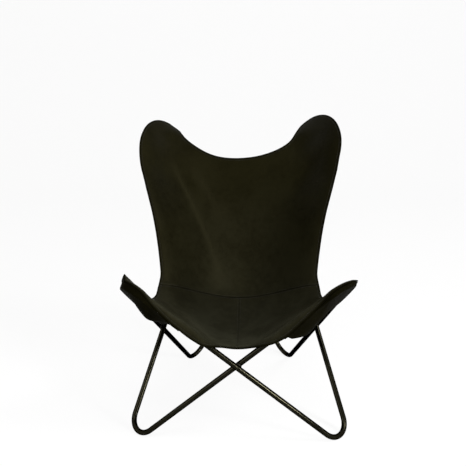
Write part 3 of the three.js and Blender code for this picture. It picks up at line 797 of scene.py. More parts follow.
class HungSling:
    """The settled leather: an even grid of points, read smoothly between them at any u and v."""

    COLUMNS = 121
    ROWS = {"flap": 8, "seat": 64, "back": 92}

    def __init__(self, shape: SlingShape, settlings: Iterable[Settling]) -> None:
        """Lays the grid, settles it and relaxes its kinks.

        Args:
            shape: The sling's shape.
            settlings: Shifts of the used sling.
        """
        flap, seat, back = self.ROWS.values()
        parts = [np.linspace(-1, 0, flap, endpoint=False), np.linspace(0, 1, seat, endpoint=False)]
        self.row_v = np.concatenate([*parts, np.linspace(1, 2, back + 1)])
        self.column_u = np.linspace(-1, 1, self.COLUMNS)
        v, u = np.meshgrid(self.row_v, self.column_u, indexing="ij")
        self.grid = shape.at(u, v)
        for settling in settlings:
            self.grid = self.grid + settling.move(self.grid)
        self._relax(passes=10)

    def _relax(self, passes: int) -> None:
        """Evens out kinks, holding the edges and the flap."""
        grid = self.grid
        on_flap = self.row_v[1:-1] < 0
        strength = np.where(on_flap, 0.0, 0.5)[:, None, None]
        for _ in range(passes):
            inner = grid[1:-1, 1:-1]
            around = (grid[:-2, 1:-1] + grid[2:, 1:-1] + grid[1:-1, :-2] + grid[1:-1, 2:]) / 4
            grid[1:-1, 1:-1] = mix(inner, around, strength)

    @staticmethod
    def _weights(t: np.ndarray) -> list[np.ndarray]:
        """The weights of four points in a row for a place between the middle two."""
        return [
            (-(t**3) + 2 * t**2 - t) / 2,
            (3 * t**3 - 5 * t**2 + 2) / 2,
            (-3 * t**3 + 4 * t**2 + t) / 2,
            (t**3 - t**2) / 2,
        ]

    def sample(self, u: np.ndarray, v: np.ndarray) -> np.ndarray:
        """Points of the leather's middle.

        Args:
            u: Places across the sling.
            v: Places along the sling, of the same shape as u.

        Returns:
            Points, millimetres.
        """
        rows, columns = self.grid.shape[:2]
        row = np.interp(v, self.row_v, np.arange(rows))
        column = np.interp(u, self.column_u, np.arange(columns))
        row_start = np.clip(np.floor(row).astype(int), 0, rows - 2)
        column_start = np.clip(np.floor(column).astype(int), 0, columns - 2)
        padded = np.pad(self.grid, ((1, 1), (1, 1), (0, 0)), mode="reflect", reflect_type="odd")
        points = np.zeros((*np.shape(u), 3))
        for i, row_weight in enumerate(self._weights(row - row_start)):
            for j, column_weight in enumerate(self._weights(column - column_start)):
                weight = (row_weight * column_weight)[..., None]
                points += weight * padded[row_start + i, column_start + j]
        return points

    def facing(self, u: np.ndarray, v: np.ndarray) -> np.ndarray:
        """The directions that the leather faces at places, taken a little inside the edges."""
        step, inset = 0.012, 0.02
        u, v = np.clip(u, inset - 1, 1 - inset), np.clip(v, inset - 1, 2 - inset)
        across = self.sample(u + step, v) - self.sample(u - step, v)
        upward = self.sample(u, v + step) - self.sample(u, v - step)
        return unit(np.cross(across, upward))


# Edge and seams of the sling


@dataclass(frozen=True)
class Trail:
    """A line on the leather: points on its middle, with the directions into the sling and out of its face."""

    points: np.ndarray
    inward: np.ndarray
    facing: np.ndarray
    u: np.ndarray
    v: np.ndarray

    EVENED_OVER = 20.0

    @classmethod
    def laid(cls, hung: HungSling, u: np.ndarray, v: np.ndarray, pitch: float, closed: bool) -> "Trail":
        """Lays a line through places of the sling, in even steps.

        Args:
            hung: The leather.
            u: Places across the sling, close together along the line.
            v: Places along the sling.
            pitch: The step, millimetres.
            closed: True if the line's end meets its start.

        Returns:
            The line.
        """
        dense = hung.sample(u, v)
        lengths = np.concatenate([[0.0], np.cumsum(np.linalg.norm(np.diff(dense, axis=0), axis=1))])
        count = max(2, round(lengths[-1] / pitch))
        spots = np.linspace(0.0, lengths[-1], count, endpoint=not closed)
        u, v = np.interp(spots, lengths, u), np.interp(spots, lengths, v)
        points = np.stack([np.interp(spots, lengths, dense[:, k]) for k in range(3)], axis=-1)
        facing = cls._evened(hung.facing(u, v), round(cls.EVENED_OVER / pitch), closed)
        along = cls._steps(points, closed)
        inward = unit(np.cross(facing, along))
        return cls(points, inward, unit(np.cross(along, inward)), u, v)

    @staticmethod
    def _steps(points: np.ndarray, closed: bool) -> np.ndarray:
        """Directions along a line."""
        if closed:
            return unit(np.roll(points, -1, axis=0) - np.roll(points, 1, axis=0))
        return unit(np.gradient(points, axis=0))

    @staticmethod
    def _evened(vectors: np.ndarray, reach: int, closed: bool) -> np.ndarray:
        """Directions averaged over their neighbours along a line."""
        padded = np.pad(vectors, ((reach, reach), (0, 0)), mode="wrap" if closed else "edge")
        window = np.hanning(2 * reach + 3)[1:-1]
        return unit(np.stack([np.convolve(padded[:, k], window, "valid") for k in range(3)], axis=-1))

    def part(self, wanted: np.ndarray) -> "Trail":
        """The stretch of the line whose places are wanted: one run, which may pass the line's start."""
        first = int(np.flatnonzero(wanted & ~np.roll(wanted, 1))[0])
        order = np.roll(np.arange(len(wanted)), -first)[: int(wanted.sum())]
        kept = (self.points, self.inward, self.facing, self.u, self.v)
        return Trail(*(values[order] for values in kept))


class LeatherFace:
    """Finds places on the middle of the leather near given points."""

    def __init__(self, hung: HungSling) -> None:
        """Keeps the leather's grid as triangles.

        Args:
            hung: The leather.
        """
        rows, columns = hung.grid.shape[:2]
        points = hung.grid.reshape(-1, 3).tolist()
        self.tree = BVHTree.FromPolygons(points, grid_faces(rows, columns).tolist())

    def nearest(self, points: np.ndarray) -> np.ndarray:
        """The places on the leather that are nearest to points."""
        return np.array([self.tree.find_nearest(Vector(point))[0] for point in points])


def distance_to(points: np.ndarray, line: np.ndarray) -> np.ndarray:
    """Distances from points to a line that is given as close points."""
    flat = points.reshape(-1, 3)
    nearest = np.full(len(flat), np.inf)
    chunk = 400
    for start in range(0, len(line), chunk):
        gaps = flat[:, None] - line[None, start : start + chunk]
        nearest = np.minimum(nearest, np.sum(gaps * gaps, axis=-1).min(axis=1))
    return np.sqrt(nearest).reshape(points.shape[:-1])


@dataclass(frozen=True)
class Thread:
    """Sewing thread, laid as single stitches that dip into the leather at both ends."""

    length: float = 4.6
    gap: float = 1.3
    radius: float = 0.42
    rise: float = 0.3
    dip: float = 0.7

    def stitches(
        self, name: str, rows: Sequence[tuple[np.ndarray, np.ndarray]], closed: bool
    ) -> bpy.types.Object:
        """Makes all stitches of one or more rows as one piece.

        Args:
            name: The piece's name.
            rows: For each row the points along it on the leather's face and the directions out of the face.
            closed: True if the rows' ends meet their starts.

        Returns:
            The new object.
        """
        stations = np.array([0.0, 0.1, 0.3, 0.5, 0.7, 0.9, 1.0])
        heights = np.array([-self.dip, 0.0, self.rise, 1.15 * self.rise, self.rise, 0.0, -self.dip])
        girth = self.radius * np.array([0.45, 0.95, 1.0, 1.0, 1.0, 0.95, 0.45])
        sides = 7
        turn = np.linspace(0.0, 2 * math.pi, sides, endpoint=False)
        rings = []
        for points, facing in rows:
            if closed:
                points, facing = np.vstack([points, points[:1]]), np.vstack([facing, facing[:1]])
            lengths = np.concatenate([[0.0], np.cumsum(np.linalg.norm(np.diff(points, axis=0), axis=1))])
            count = int(lengths[-1] // (self.length + self.gap))
            starts = np.arange(count) * (lengths[-1] / count)
            spots = starts[:, None] + stations * self.length
            at = np.stack([np.interp(spots, lengths, points[:, k]) for k in range(3)], axis=-1)
            out = unit(np.stack([np.interp(spots, lengths, facing[:, k]) for k in range(3)], axis=-1))
            along = unit(at[:, -1:] - at[:, :1])
            sideways = unit(np.cross(np.broadcast_to(along, out.shape), out))
            center = at + heights[:, None] * out
            swing = np.cos(turn)[:, None] * sideways[:, :, None] + np.sin(turn)[:, None] * out[:, :, None]
            rings.append(center[:, :, None] + girth[:, None, None] * swing)
        rings = np.concatenate(rings)
        numbers = np.arange(rings[..., 0].size).reshape(rings.shape[:3])
        numbers = np.concatenate([numbers, numbers[:, :, :1]], axis=2)
        corners = [numbers[:, :-1, :-1], numbers[:, :-1, 1:], numbers[:, 1:, 1:], numbers[:, 1:, :-1]]
        faces = np.stack([corner.ravel() for corner in corners], axis=-1)
        return mesh_object(name, rings.reshape(-1, 3), faces.tolist())


# Pieces of the sling


def graded(
    start: float, end: float, length: float, pitch: float, fine_start: float, fine_end: float
) -> np.ndarray:
    """Places from start to end that lie closer together near the ends that are seams or hems.

    Args:
        start: The first place.
        end: The last place.
        length: The length between them, millimetres.
        pitch: The usual step, millimetres.
        fine_start: The length at the start that has fine steps, millimetres.
        fine_end: The length at the end that has fine steps, millimetres.

    Returns:
        The places.
    """
    fine_pitch = 1.1
    near = np.arange(0.0, fine_start, fine_pitch)
    far = length - np.arange(0.0, fine_end, fine_pitch)[::-1]
    gap = length - fine_start - fine_end
    between = np.linspace(fine_start, length - fine_end, max(2, round(gap / pitch)) + 1)
    first = 1 if fine_start else 0
    last = len(between) - 1 if fine_end else len(between)
    millimetres = np.concatenate([near, between[first:last], far])
    return start + (end - start) * millimetres / length


@dataclass(frozen=True)
class SewnRelief:
    """Depths, places and widths of the leather's relief beside sewn lines, millimetres."""

    sewn_depth: float = 0.55
    sewn_width: float = 1.4
    roll_depth: float = 1.0
    roll_width: float = 2.5
    swell: float = 0.4
    hem_swell_place: float = 3.6
    hem_swell_width: float = 1.8
    seam_depth: float = 1.7
    seam_width: float = 1.7
    seam_sewn_depth: float = 0.275
    seam_sewn_width: float = 1.2
    seam_swell_place: float = 7.5
    seam_swell_width: float = 3.0
    pucker: float = 0.35
    pucker_reach: float = 14.0
    pucker_size: float = 13.0
    pucker_seed: float = 3.7


@dataclass(frozen=True)
class PocketCut:
    """A corner pocket, sewn under the sling along a side edge, round a tip and along the front or top edge.

    Attributes:
        along_side: The share of the side edge that it covers.
        along_end: The share of the front or top edge that it covers.
        side_width: Its width at its end on the side edge, in u.
        end_width: Its width at its end on the other edge, in v.
        inset_u: How far its sewn line lies inside the side edge.
        inset_v: How far its sewn line lies inside the other edge.
        wall: The greatest width of the wall that goes round the rod.
        wrinkle: The depth of its wrinkles.
        bag: How far it bags below the rod.
        bag_place: Where along it that is: 0 at its side end, 0.5 at the tip, 1 at its other end.
        bag_share: Over what share of it that is.
        flat_ends: The shares at its two ends where it comes up to the sling again.
        bag_rise: How deep in it bags most, where 1 is its mouth.
        mouth_bag: The share of the bagging that is left at its mouth.
    """

    along_side: float
    along_end: float
    side_width: float
    end_width: float
    inset_u: float
    inset_v: float
    wall: float
    wrinkle: float
    bag: float
    bag_place: float = 0.5
    bag_share: float = 0.3
    flat_ends: tuple[float, float] = (0.0, 0.0)
    bag_rise: float = 1.0
    mouth_bag: float = 1.0


@dataclass
class Sling:
    """The leather sling: back, two seat halves, four corner pockets, hems, seam tapes and stitching."""

    shape: SlingShape
    settlings: tuple[Settling, ...] = (
        # The left front wing stands a little higher and further in.
        Settling((-300, -40, 510), (4, 0, 6), 110),
        Settling((-323, -12, 511), (9, 0, 14), 42),
        # The right front wing ends a little lower and further out.
        Settling((327, 3, 509), (12, 0, -4), 46),
        # The front edge lies higher on the left arm.
        Settling((-140, -55, 365), (0, 0, 7), 80),
        # The waist stands out at both sides.
        Settling((-258, 262, 392), (-7, 0, 0), 60),
        Settling((258, 262, 392), (7, 0, 0), 60),
        # The top edge sags left of the middle.
        Settling((-100, 650, 768), (0, 0, -5), 130),
    )
    half_width: float = 300.0
    back_length: float = 640.0
    seat_length: float = 420.0
    flap_length: float = 32.0
    pitch: float = 6.0
    flap_pitch: float = 3.0
    fine_seam: float = 8.0
    fine_hem: float = 12.0
    rim_share: float = 0.7
    stitch_inset: float = 7.0
    seam_inset: float = 4.2
    center_share: float = 0.5
    edge_pitch: float = 2.5
    roll_half_width: float = 1.9
    roll_half_height: float = 2.1
    hem_width: float = 12.0
    hem_thickness: float = 1.5
    hem_gap: float = 0.3
    tape_width: float = 22.0
    tape_gap: float = 0.5
    pocket_thickness: float = 2.0
    pocket_sewn_gap: float = 1.7
    pocket_rod_gap: float = 1.5
    least_wall: float = 2.0
    seam_drop: float = 0.065
    seam_drop_reach: float = 0.25
    seam_drop_power: float = 2.5
    relief: SewnRelief = SewnRelief()
    front_pockets: dict[int, PocketCut] = field(
        default_factory=lambda: {
            LEFT: PocketCut(
                along_side=0.46,
                along_end=0.5,
                side_width=0.2,
                end_width=0.06,
                inset_u=0.003,
                inset_v=0.03,
                wall=18.0,
                wrinkle=1.6,
                bag=25.0,
                bag_place=0.62,
                bag_share=0.17,
                bag_rise=0.6,
                mouth_bag=0.35,
            ),
            RIGHT: PocketCut(
                along_side=0.46,
                along_end=0.6,
                side_width=0.2,
                end_width=0.1,
                inset_u=0.003,
                inset_v=0.03,
                wall=18.0,
                wrinkle=1.6,
                bag=27.0,
                bag_place=0.74,
                bag_share=0.38,
            ),
        }
    )
    rear_pocket: PocketCut = PocketCut(
        along_side=0.4,
        along_end=0.28,
        side_width=0.1,
        end_width=0.1,
        inset_u=0.004,
        inset_v=0.003,
        wall=22.0,
        wrinkle=0.8,
        bag=2.0,
        flat_ends=(0.06, 0.08),
    )
    thread: Thread = Thread()

    def __post_init__(self) -> None:
        """Hangs the leather and finds its edge and seams."""
        self.hung = HungSling(self.shape, self.settlings)
        self.face = LeatherFace(self.hung)
        across_steps, up_steps = 900, 1500
        across = mix(-1.0, 1.0, np.linspace(0.0, 1.0, across_steps))
        up = np.linspace(-1.0, 2.0, up_steps)
        u = np.concatenate([across, np.ones_like(up), across[::-1], -np.ones_like(up)])
        v = np.concatenate([-np.ones_like(across), up, np.full_like(across, 2.0), up[::-1]])
        self.edge = Trail.laid(self.hung, u, v, self.edge_pitch, closed=True)
        seam_v = self._dropped(across, np.ones_like(across))
        self.cross_seam = Trail.laid(self.hung, across, seam_v, self.edge_pitch, closed=False)
        in_middle, along = np.zeros_like(across), across
        self.center_seam = Trail.laid(self.hung, in_middle, along, self.edge_pitch, closed=False)

    def build(self, finishes: "SlingFinishes") -> list[bpy.types.Object]:
        """Makes all pieces of the sling.

        Args:
            finishes: The finishes of its pieces.

        Returns:
            The new pieces.
        """
        made = [dress(self._back(), finishes.back, Slot.SLING, "back_panel")]
        for side in (LEFT, RIGHT):
            made.append(dress(self._seat(side), finishes.seat, Slot.SEAT, f"seat_panel_{side_name(side)}"))
        for side in (LEFT, RIGHT):
            for end, cut in (("front", self.front_pockets[side]), ("rear", self.rear_pocket)):
                name = f"{end}_{side_name(side)}"
                piece = self._pocket(f"pocket_leather_{name}", side, cut, end == "front")
                made.append(dress(piece, finishes.pocket, Slot.SLING, f"pocket_{name}"))
        for name, wanted in self._hem_runs().items():
            made.append(dress(self._hem(f"hem_fold_{name}", wanted), finishes.hem, Slot.HEM, f"hem_{name}"))
        made.append(dress(self._edge_roll(), finishes.hem, Slot.HEM))
        made.append(dress(self._cross_tape(), finishes.tape, Slot.TAPE, "seat_back_seam_tape"))
        made.append(dress(self._center_tape(), finishes.tape, Slot.TAPE, "seat_center_seam_tape"))
        made += [dress(piece, finishes.thread, Slot.TAPE) for piece in self._threads()]
        return made

    # Panels

    def _dropped(self, u: np.ndarray, v: np.ndarray) -> np.ndarray:
        """Places along the sling, lowered near the ends of the cross seam, which runs flatter than v."""
        near = hump(v, 1.0, self.seam_drop_reach)
        return v - self.seam_drop * np.abs(u) ** self.seam_drop_power * near

    def _panel(self, name: str, u: np.ndarray, v: np.ndarray) -> bpy.types.Object:
        """A panel of leather over a grid of places, with its seams rolled down and its hem line sewn in."""
        v_grid, u_grid = np.meshgrid(v, u, indexing="ij")
        v_grid = self._dropped(u_grid, v_grid)
        middle, facing = self.hung.sample(u_grid, v_grid), self.hung.facing(u_grid, v_grid)
        hem = distance_to(middle, self.edge.points)
        cross, center = (distance_to(middle, seam.points) for seam in (self.cross_seam, self.center_seam))
        relief = self._relief(middle, hem, cross, center)
        half = self.shape.thickness / 2
        upper = middle + facing * (half + relief)[..., None]
        lower = middle - facing * half
        piece = sheet_object(name, upper, lower, rim=half * self.rim_share)
        seam_fade, edge_fade = 3.0, 5.0
        # This mask marks worn leather and the seat's painted sheen.
        wear_and_sheen = self._wear_and_sheen(u_grid, v_grid)
        # The edge and seam masks steer painted shade beside the hems and seams.
        seam = np.maximum(np.exp(-cross / seam_fade), self.center_share * np.exp(-center / seam_fade))
        for mask, values in (("edge", np.exp(-hem / edge_fade)), ("seam", seam), ("wear_and_sheen", wear_and_sheen)):
            # The thin rim takes the mean.
            rim_count = len(piece.data.vertices) - 2 * values.size
            on_rim = np.full(rim_count, values.mean())
            add_mask(piece, mask, np.concatenate([values.ravel(), values.ravel(), on_rim]))
        return piece

    def _relief(
        self, points: np.ndarray, hem: np.ndarray, cross: np.ndarray, center: np.ndarray
    ) -> np.ndarray:
        """How far the upper face stands up: sewn lines sink, and the leather swells beside them.

        Args:
            points: Points of the leather.
            hem: Their distances from the edge.
            cross: Their distances from the seam between seat and back.
            center: Their distances from the seam in the middle of the seat.

        Returns:
            Heights, millimetres.
        """
        sewn = self.relief
        height = -sewn.sewn_depth * hump(hem, self.stitch_inset, sewn.sewn_width)
        height -= sewn.roll_depth * smooth(1 - hem / sewn.roll_width)
        height += sewn.swell * hump(hem, sewn.hem_swell_place, sewn.hem_swell_width)
        for seam, share in ((cross, 1.0), (center, self.center_share)):
            height -= share * sewn.seam_depth * hump(seam, 0.0, sewn.seam_width)
            height -= share * sewn.seam_sewn_depth * hump(seam, self.seam_inset, sewn.seam_sewn_width)
            height += share * sewn.swell * hump(seam, sewn.seam_swell_place, sewn.seam_swell_width)
        near = np.exp(-np.minimum(hem, np.minimum(cross, center)) / sewn.pucker_reach)
        return height + sewn.pucker * near * gentle_noise(points, sewn.pucker_size, sewn.pucker_seed)

    @staticmethod
    def _wear_and_sheen(u: np.ndarray, v: np.ndarray) -> np.ndarray:
        """Where the leather is painted lighter, both for the seat's sheen and where sitting has worn it: the
        seat, its front edge and the small of the back.
        """
        seat_half, seat_spot, seat_reach = 1.1, 0.12, 0.75
        back_rubbing, back_half, back_spot, back_reach = 0.1, 0.5, 1.45, 0.3
        seat = hump(u, 0.0, seat_half) * hump(v, seat_spot, seat_reach)
        back = back_rubbing * hump(u, 0.0, back_half) * hump(v, back_spot, back_reach)
        return np.clip(seat + back, 0.0, 1.0)

    def _back(self) -> bpy.types.Object:
        """The tall back with its two lobes."""
        half = graded(0.0, 1.0, self.half_width, self.pitch, 0.0, self.fine_hem)
        u = np.concatenate([-half[:0:-1], half])
        v = graded(1.0, 2.0, self.back_length, self.pitch, self.fine_seam, self.fine_hem)
        return self._panel("back_leather", u, v)

    def _seat(self, side: int) -> bpy.types.Object:
        """One half of the seat with its flap over the frame's arm."""
        half = graded(0.0, 1.0, self.half_width, self.pitch, self.fine_seam, self.fine_hem)
        u = half if side == RIGHT else -half[::-1]
        flap = graded(-1.0, 0.0, self.flap_length, self.flap_pitch, self.fine_hem, 0.0)
        seat = graded(0.0, 1.0, self.seat_length, self.pitch, 0.0, self.fine_seam)
        return self._panel(f"seat_leather_{side_name(side)}", u, np.concatenate([flap, seat[1:]]))

    # Pockets

    def _pocket(self, name: str, side: int, cut: PocketCut, at_front: bool) -> bpy.types.Object:
        """A pocket sewn under a corner of the sling, from the corner's edges round the rod to its mouth.

        Args:
            name: The piece's name.
            side: The side of the chair.
            cut: The pocket's sizes.
            at_front: True at a front corner, False at a rear one.

        Returns:
            The new object.
        """
        bow = self.shape.frame.front_bow(side) if at_front else self.shape.frame.rear_bow(side)
        facing = bow.facing()
        v_end, v_tip, v_inward = (-1.0, 0.0, 1.0) if at_front else (2.0, 2.0, -1.0)
        # t runs from the sewn line (0) to the mouth (1), and s along the pocket with the tip at 0.5.
        rows, columns, crowding = 34, 120, 1.6
        inward, along = np.linspace(0.0, 1.0, rows) ** crowding, np.linspace(0.0, 1.0, columns)
        t, s = np.meshgrid(inward, along, indexing="ij")
        side_v = v_tip + v_inward * cut.along_side
        u_edge, v_edge = 1.0 - cut.inset_u, v_end + v_inward * cut.inset_v
        edge_u = np.where(s < 0.5, u_edge, u_edge - (cut.along_end - cut.inset_u) * (2 * s - 1))
        edge_v = np.where(s < 0.5, mix(side_v, v_edge, np.minimum(2 * s, 1.0)), v_edge)
        mouth_u = mix(1.0 - cut.side_width, 1.0 - cut.along_end, s)
        mouth_v = mix(side_v, v_tip + v_inward * cut.end_width, s)
        edge, mouth = self.hung.sample(side * edge_u, edge_v), self.hung.sample(side * mouth_u, mouth_v)
        spot = mix(edge, mouth, t[..., None])
        sunk = self.shape.thickness / 2 + self.pocket_sewn_gap + self.pocket_thickness / 2
        behind_rod = self.shape.frame.radius + self.pocket_rod_gap + self.pocket_thickness / 2
        height = (spot - bow.point(0.0)) @ facing
        drawn_up = smooth((t - cut.bag_rise) / max(1.0 - cut.bag_rise, 0.01))
        bagging = cut.bag * smooth(t / cut.bag_rise) * mix(1.0, cut.mouth_bag, drawn_up)
        bagging = bagging * hump(s, cut.bag_place, cut.bag_share)
        rod = self.shape.frame.middle_line(-side if at_front else side)
        room = distance_to(edge, rod) - behind_rod
        turned = smooth(np.linalg.norm(spot - edge, axis=-1) / np.clip(room, self.least_wall, cut.wall))
        for ends, share in zip((s, 1.0 - s), cut.flat_ends):
            turned = turned * smooth(ends / share) if share else turned
        sink = mix(sunk, np.maximum(height + behind_rod + bagging, sunk), turned)
        drawn_out, wrinkle_size, seed = [1.0, 0.45, 0.45], 26.0, 11.0 + side
        wrinkles = cut.wrinkle * smooth(4 * t) * gentle_noise(spot * drawn_out, wrinkle_size, seed)
        middle = spot - facing * (sink + wrinkles)[..., None]
        half = self.pocket_thickness / 2
        return sheet_object(name, middle + facing * half, middle - facing * half, rim=half * self.rim_share)

    # Hems and tapes

    def _hem_runs(self) -> dict[str, np.ndarray]:
        """Which stretches of the sling's edge have a turned hem behind them, by name."""
        u, v = self.edge.u, self.edge.v
        left, right = self.front_pockets[LEFT], self.front_pockets[RIGHT]
        at_edge, past_pocket = 0.999, 0.03
        front = (v < -at_edge) & (u > left.along_end - 1) & (u < 1 - right.along_end)
        top = (v > 1 + at_edge) & (np.abs(u) < 1 - self.rear_pocket.along_end)
        side = (v > left.along_side + past_pocket) & (v < 2 - self.rear_pocket.along_side - past_pocket)
        return {"top": top, "front": front, "left": side & (u < -at_edge), "right": side & (u > at_edge)}

    def _under(self, trail: Trail, insets: np.ndarray, depth: float) -> np.ndarray:
        """Places below the leather's middle along a line, at insets from it.

        Args:
            trail: The line.
            insets: Distances into the sling.
            depth: How far below the middle.

        Returns:
            A grid of points: along the line, and across it.
        """
        rows = []
        for inset in insets:
            on_leather = self.face.nearest(trail.points + trail.inward * inset)
            rows.append(on_leather - trail.facing * depth)
        return np.stack(rows, axis=1)

    def _strip(self, name: str, trail: Trail, insets: np.ndarray, gap: float) -> bpy.types.Object:
        """A thin strip along a line, under the leather.

        Args:
            name: The piece's name.
            trail: The line.
            insets: Distances into the sling, from one edge of the strip to the other.
            gap: The gap between the leather and the strip.

        Returns:
            The new object.
        """
        depth = self.shape.thickness / 2 + gap
        upper = self._under(trail, insets, depth)
        lower = self._under(trail, insets, depth + self.hem_thickness)
        return sheet_object(name, upper, lower, rim=self.hem_thickness / 3)

    def _hem(self, name: str, wanted: np.ndarray) -> bpy.types.Object:
        """A stretch of the edge strip that is turned to the back and sewn down."""
        first_inset, columns = 0.5, 6
        insets = np.linspace(first_inset, self.hem_width, columns)
        return self._strip(name, self.edge.part(wanted), insets, self.hem_gap)

    def _edge_roll(self) -> bpy.types.Object:
        """The rounded fold of leather all round the sling's edge."""
        sides, sink, unevenness, swell_size, seed = 14, 0.25, 0.12, 24.0, 5.0
        edge = self.edge
        turn = np.linspace(0.0, 2 * math.pi, sides, endpoint=False)
        outward = -self.roll_half_width * np.cos(turn)
        height = self.roll_half_height * np.sin(turn) - sink
        uneven = 1 + unevenness * gentle_noise(edge.points, swell_size, seed)
        rings = edge.points[:, None] + (outward * uneven[:, None])[..., None] * edge.inward[:, None]
        rings = rings + height[:, None] * edge.facing[:, None]
        return swept_object("edge_roll", rings, closed=True)

    def _tape(self, name: str, trail: Trail) -> bpy.types.Object:
        """A woven strip sewn under a seam."""
        columns = 5
        return self._strip(name, trail, np.linspace(-0.5, 0.5, columns) * self.tape_width, self.tape_gap)

    def _cross_tape(self) -> bpy.types.Object:
        """The tape under the seam between seat and back."""
        end = 0.94
        return self._tape("seam_tape_cross", self.cross_seam.part(np.abs(self.cross_seam.u) < end))

    def _center_tape(self) -> bpy.types.Object:
        """The tape under the seam in the middle of the seat."""
        start, end = 0.0, 0.96
        wanted = (self.center_seam.v > start) & (self.center_seam.v < end)
        return self._tape("seam_tape_center", self.center_seam.part(wanted))

    # Stitching

    def _sewn_row(self, trail: Trail, inset: float, level: float) -> tuple[np.ndarray, np.ndarray]:
        """Places for stitches beside a line, at a level over the leather's middle, with their facing."""
        on_leather = self.face.nearest(trail.points + trail.inward * inset)
        facing = trail.facing if level > 0 else -trail.facing
        return on_leather + trail.facing * level, facing

    def _threads(self) -> list[bpy.types.Object]:
        """The stitching along the hems, on both faces, and along both sides of the seams."""
        sink, seam_rise, center_start = 0.35, 0.15, -0.9
        face = self.shape.thickness / 2 - sink
        behind = -self.shape.thickness / 2 - self.hem_gap - self.hem_thickness
        around = self._sewn_row(self.edge, self.stitch_inset, face)
        runs = [self.edge.part(wanted) for wanted in self._hem_runs().values()]
        rows = [self._sewn_row(run, self.stitch_inset, behind) for run in runs]
        center = self.center_seam.part(self.center_seam.v > center_start)
        seams = []
        for trail in (self.cross_seam, center):
            seams += [self._sewn_row(trail, way * self.seam_inset, face + seam_rise) for way in (1, -1)]
        return [
            self.thread.stitches("stitches_hem", [around], closed=True),
            self.thread.stitches("stitches_hem_behind", rows, closed=False),
            self.thread.stitches("stitches_seams", seams, closed=False),
        ]


# Finishes

Color = tuple[float, float, float]
Value = bpy.types.NodeSocket | float | tuple[float, ...]


class NodeBench:
    """Lays and joins the nodes of one material or node group."""

    def __init__(self, tree: bpy.types.NodeTree) -> None:
        """Starts with the tree's present nodes.

        Args:
            tree: The node tree.
        """
        self.tree = tree

    def add(
        self, kind: str, inputs: dict[str | int, Value] | None = None, **settings: object
    ) -> bpy.types.Node:
        """Adds a node.

        Args:
            kind: The node's type in Blender.
            inputs: Numbers for its input sockets, or sockets to join to them.
            settings: The node's own settings.

        Returns:
            The new node.
        """
        node = self.tree.nodes.new(kind)
        for name, setting in settings.items():
            setattr(node, name, setting)
        for name, value in (inputs or {}).items():
            self.feed(node.inputs[name], value)
        return node

    def feed(self, socket: bpy.types.NodeSocket, value: Value) -> None:
        """Joins a socket to another, or sets its number."""
        if isinstance(value, bpy.types.NodeSocket):
            self.tree.links.new(value, socket)
        else:
            socket.default_value = value

    def calc(self, operation: str, a: Value, b: Value = 0.0) -> bpy.types.NodeSocket:
        """The result of a sum, product or other operation on two values."""
        return self.add("ShaderNodeMath", {0: a, 1: b}, operation=operation).outputs[0]

    def remap(self, value: Value, start: float, end: float, low: float, high: float) -> bpy.types.NodeSocket:
        """A value moved softly from the range start to end into the range low to high."""
        inputs = {"Value": value, "From Min": start, "From Max": end, "To Min": low, "To Max": high}
        return self.add("ShaderNodeMapRange", inputs, interpolation_type="SMOOTHSTEP").outputs[0]

    def blend(self, share: Value, a: Value, b: Value) -> bpy.types.NodeSocket:
        """A colour between two colours."""
        return self.add("ShaderNodeMix", {0: share, 6: a, 7: b}, data_type="RGBA").outputs[2]

    def cells(self, vector: Value, scale: Value) -> bpy.types.NodeSocket:
        """Distances to the walls of uneven cells."""
        inputs = {"Vector": vector, "Scale": scale}
        return self.add("ShaderNodeTexVoronoi", inputs, feature="DISTANCE_TO_EDGE").outputs[0]

    def noise(
        self, vector: Value, scale: Value, detail: float = 4.0, roughness: float = 0.55
    ) -> bpy.types.NodeSocket:
        """Cloudy noise between 0 and 1."""
        inputs = {"Vector": vector, "Scale": scale, "Detail": detail, "Roughness": roughness}
        return self.add("ShaderNodeTexNoise", inputs).outputs[0]


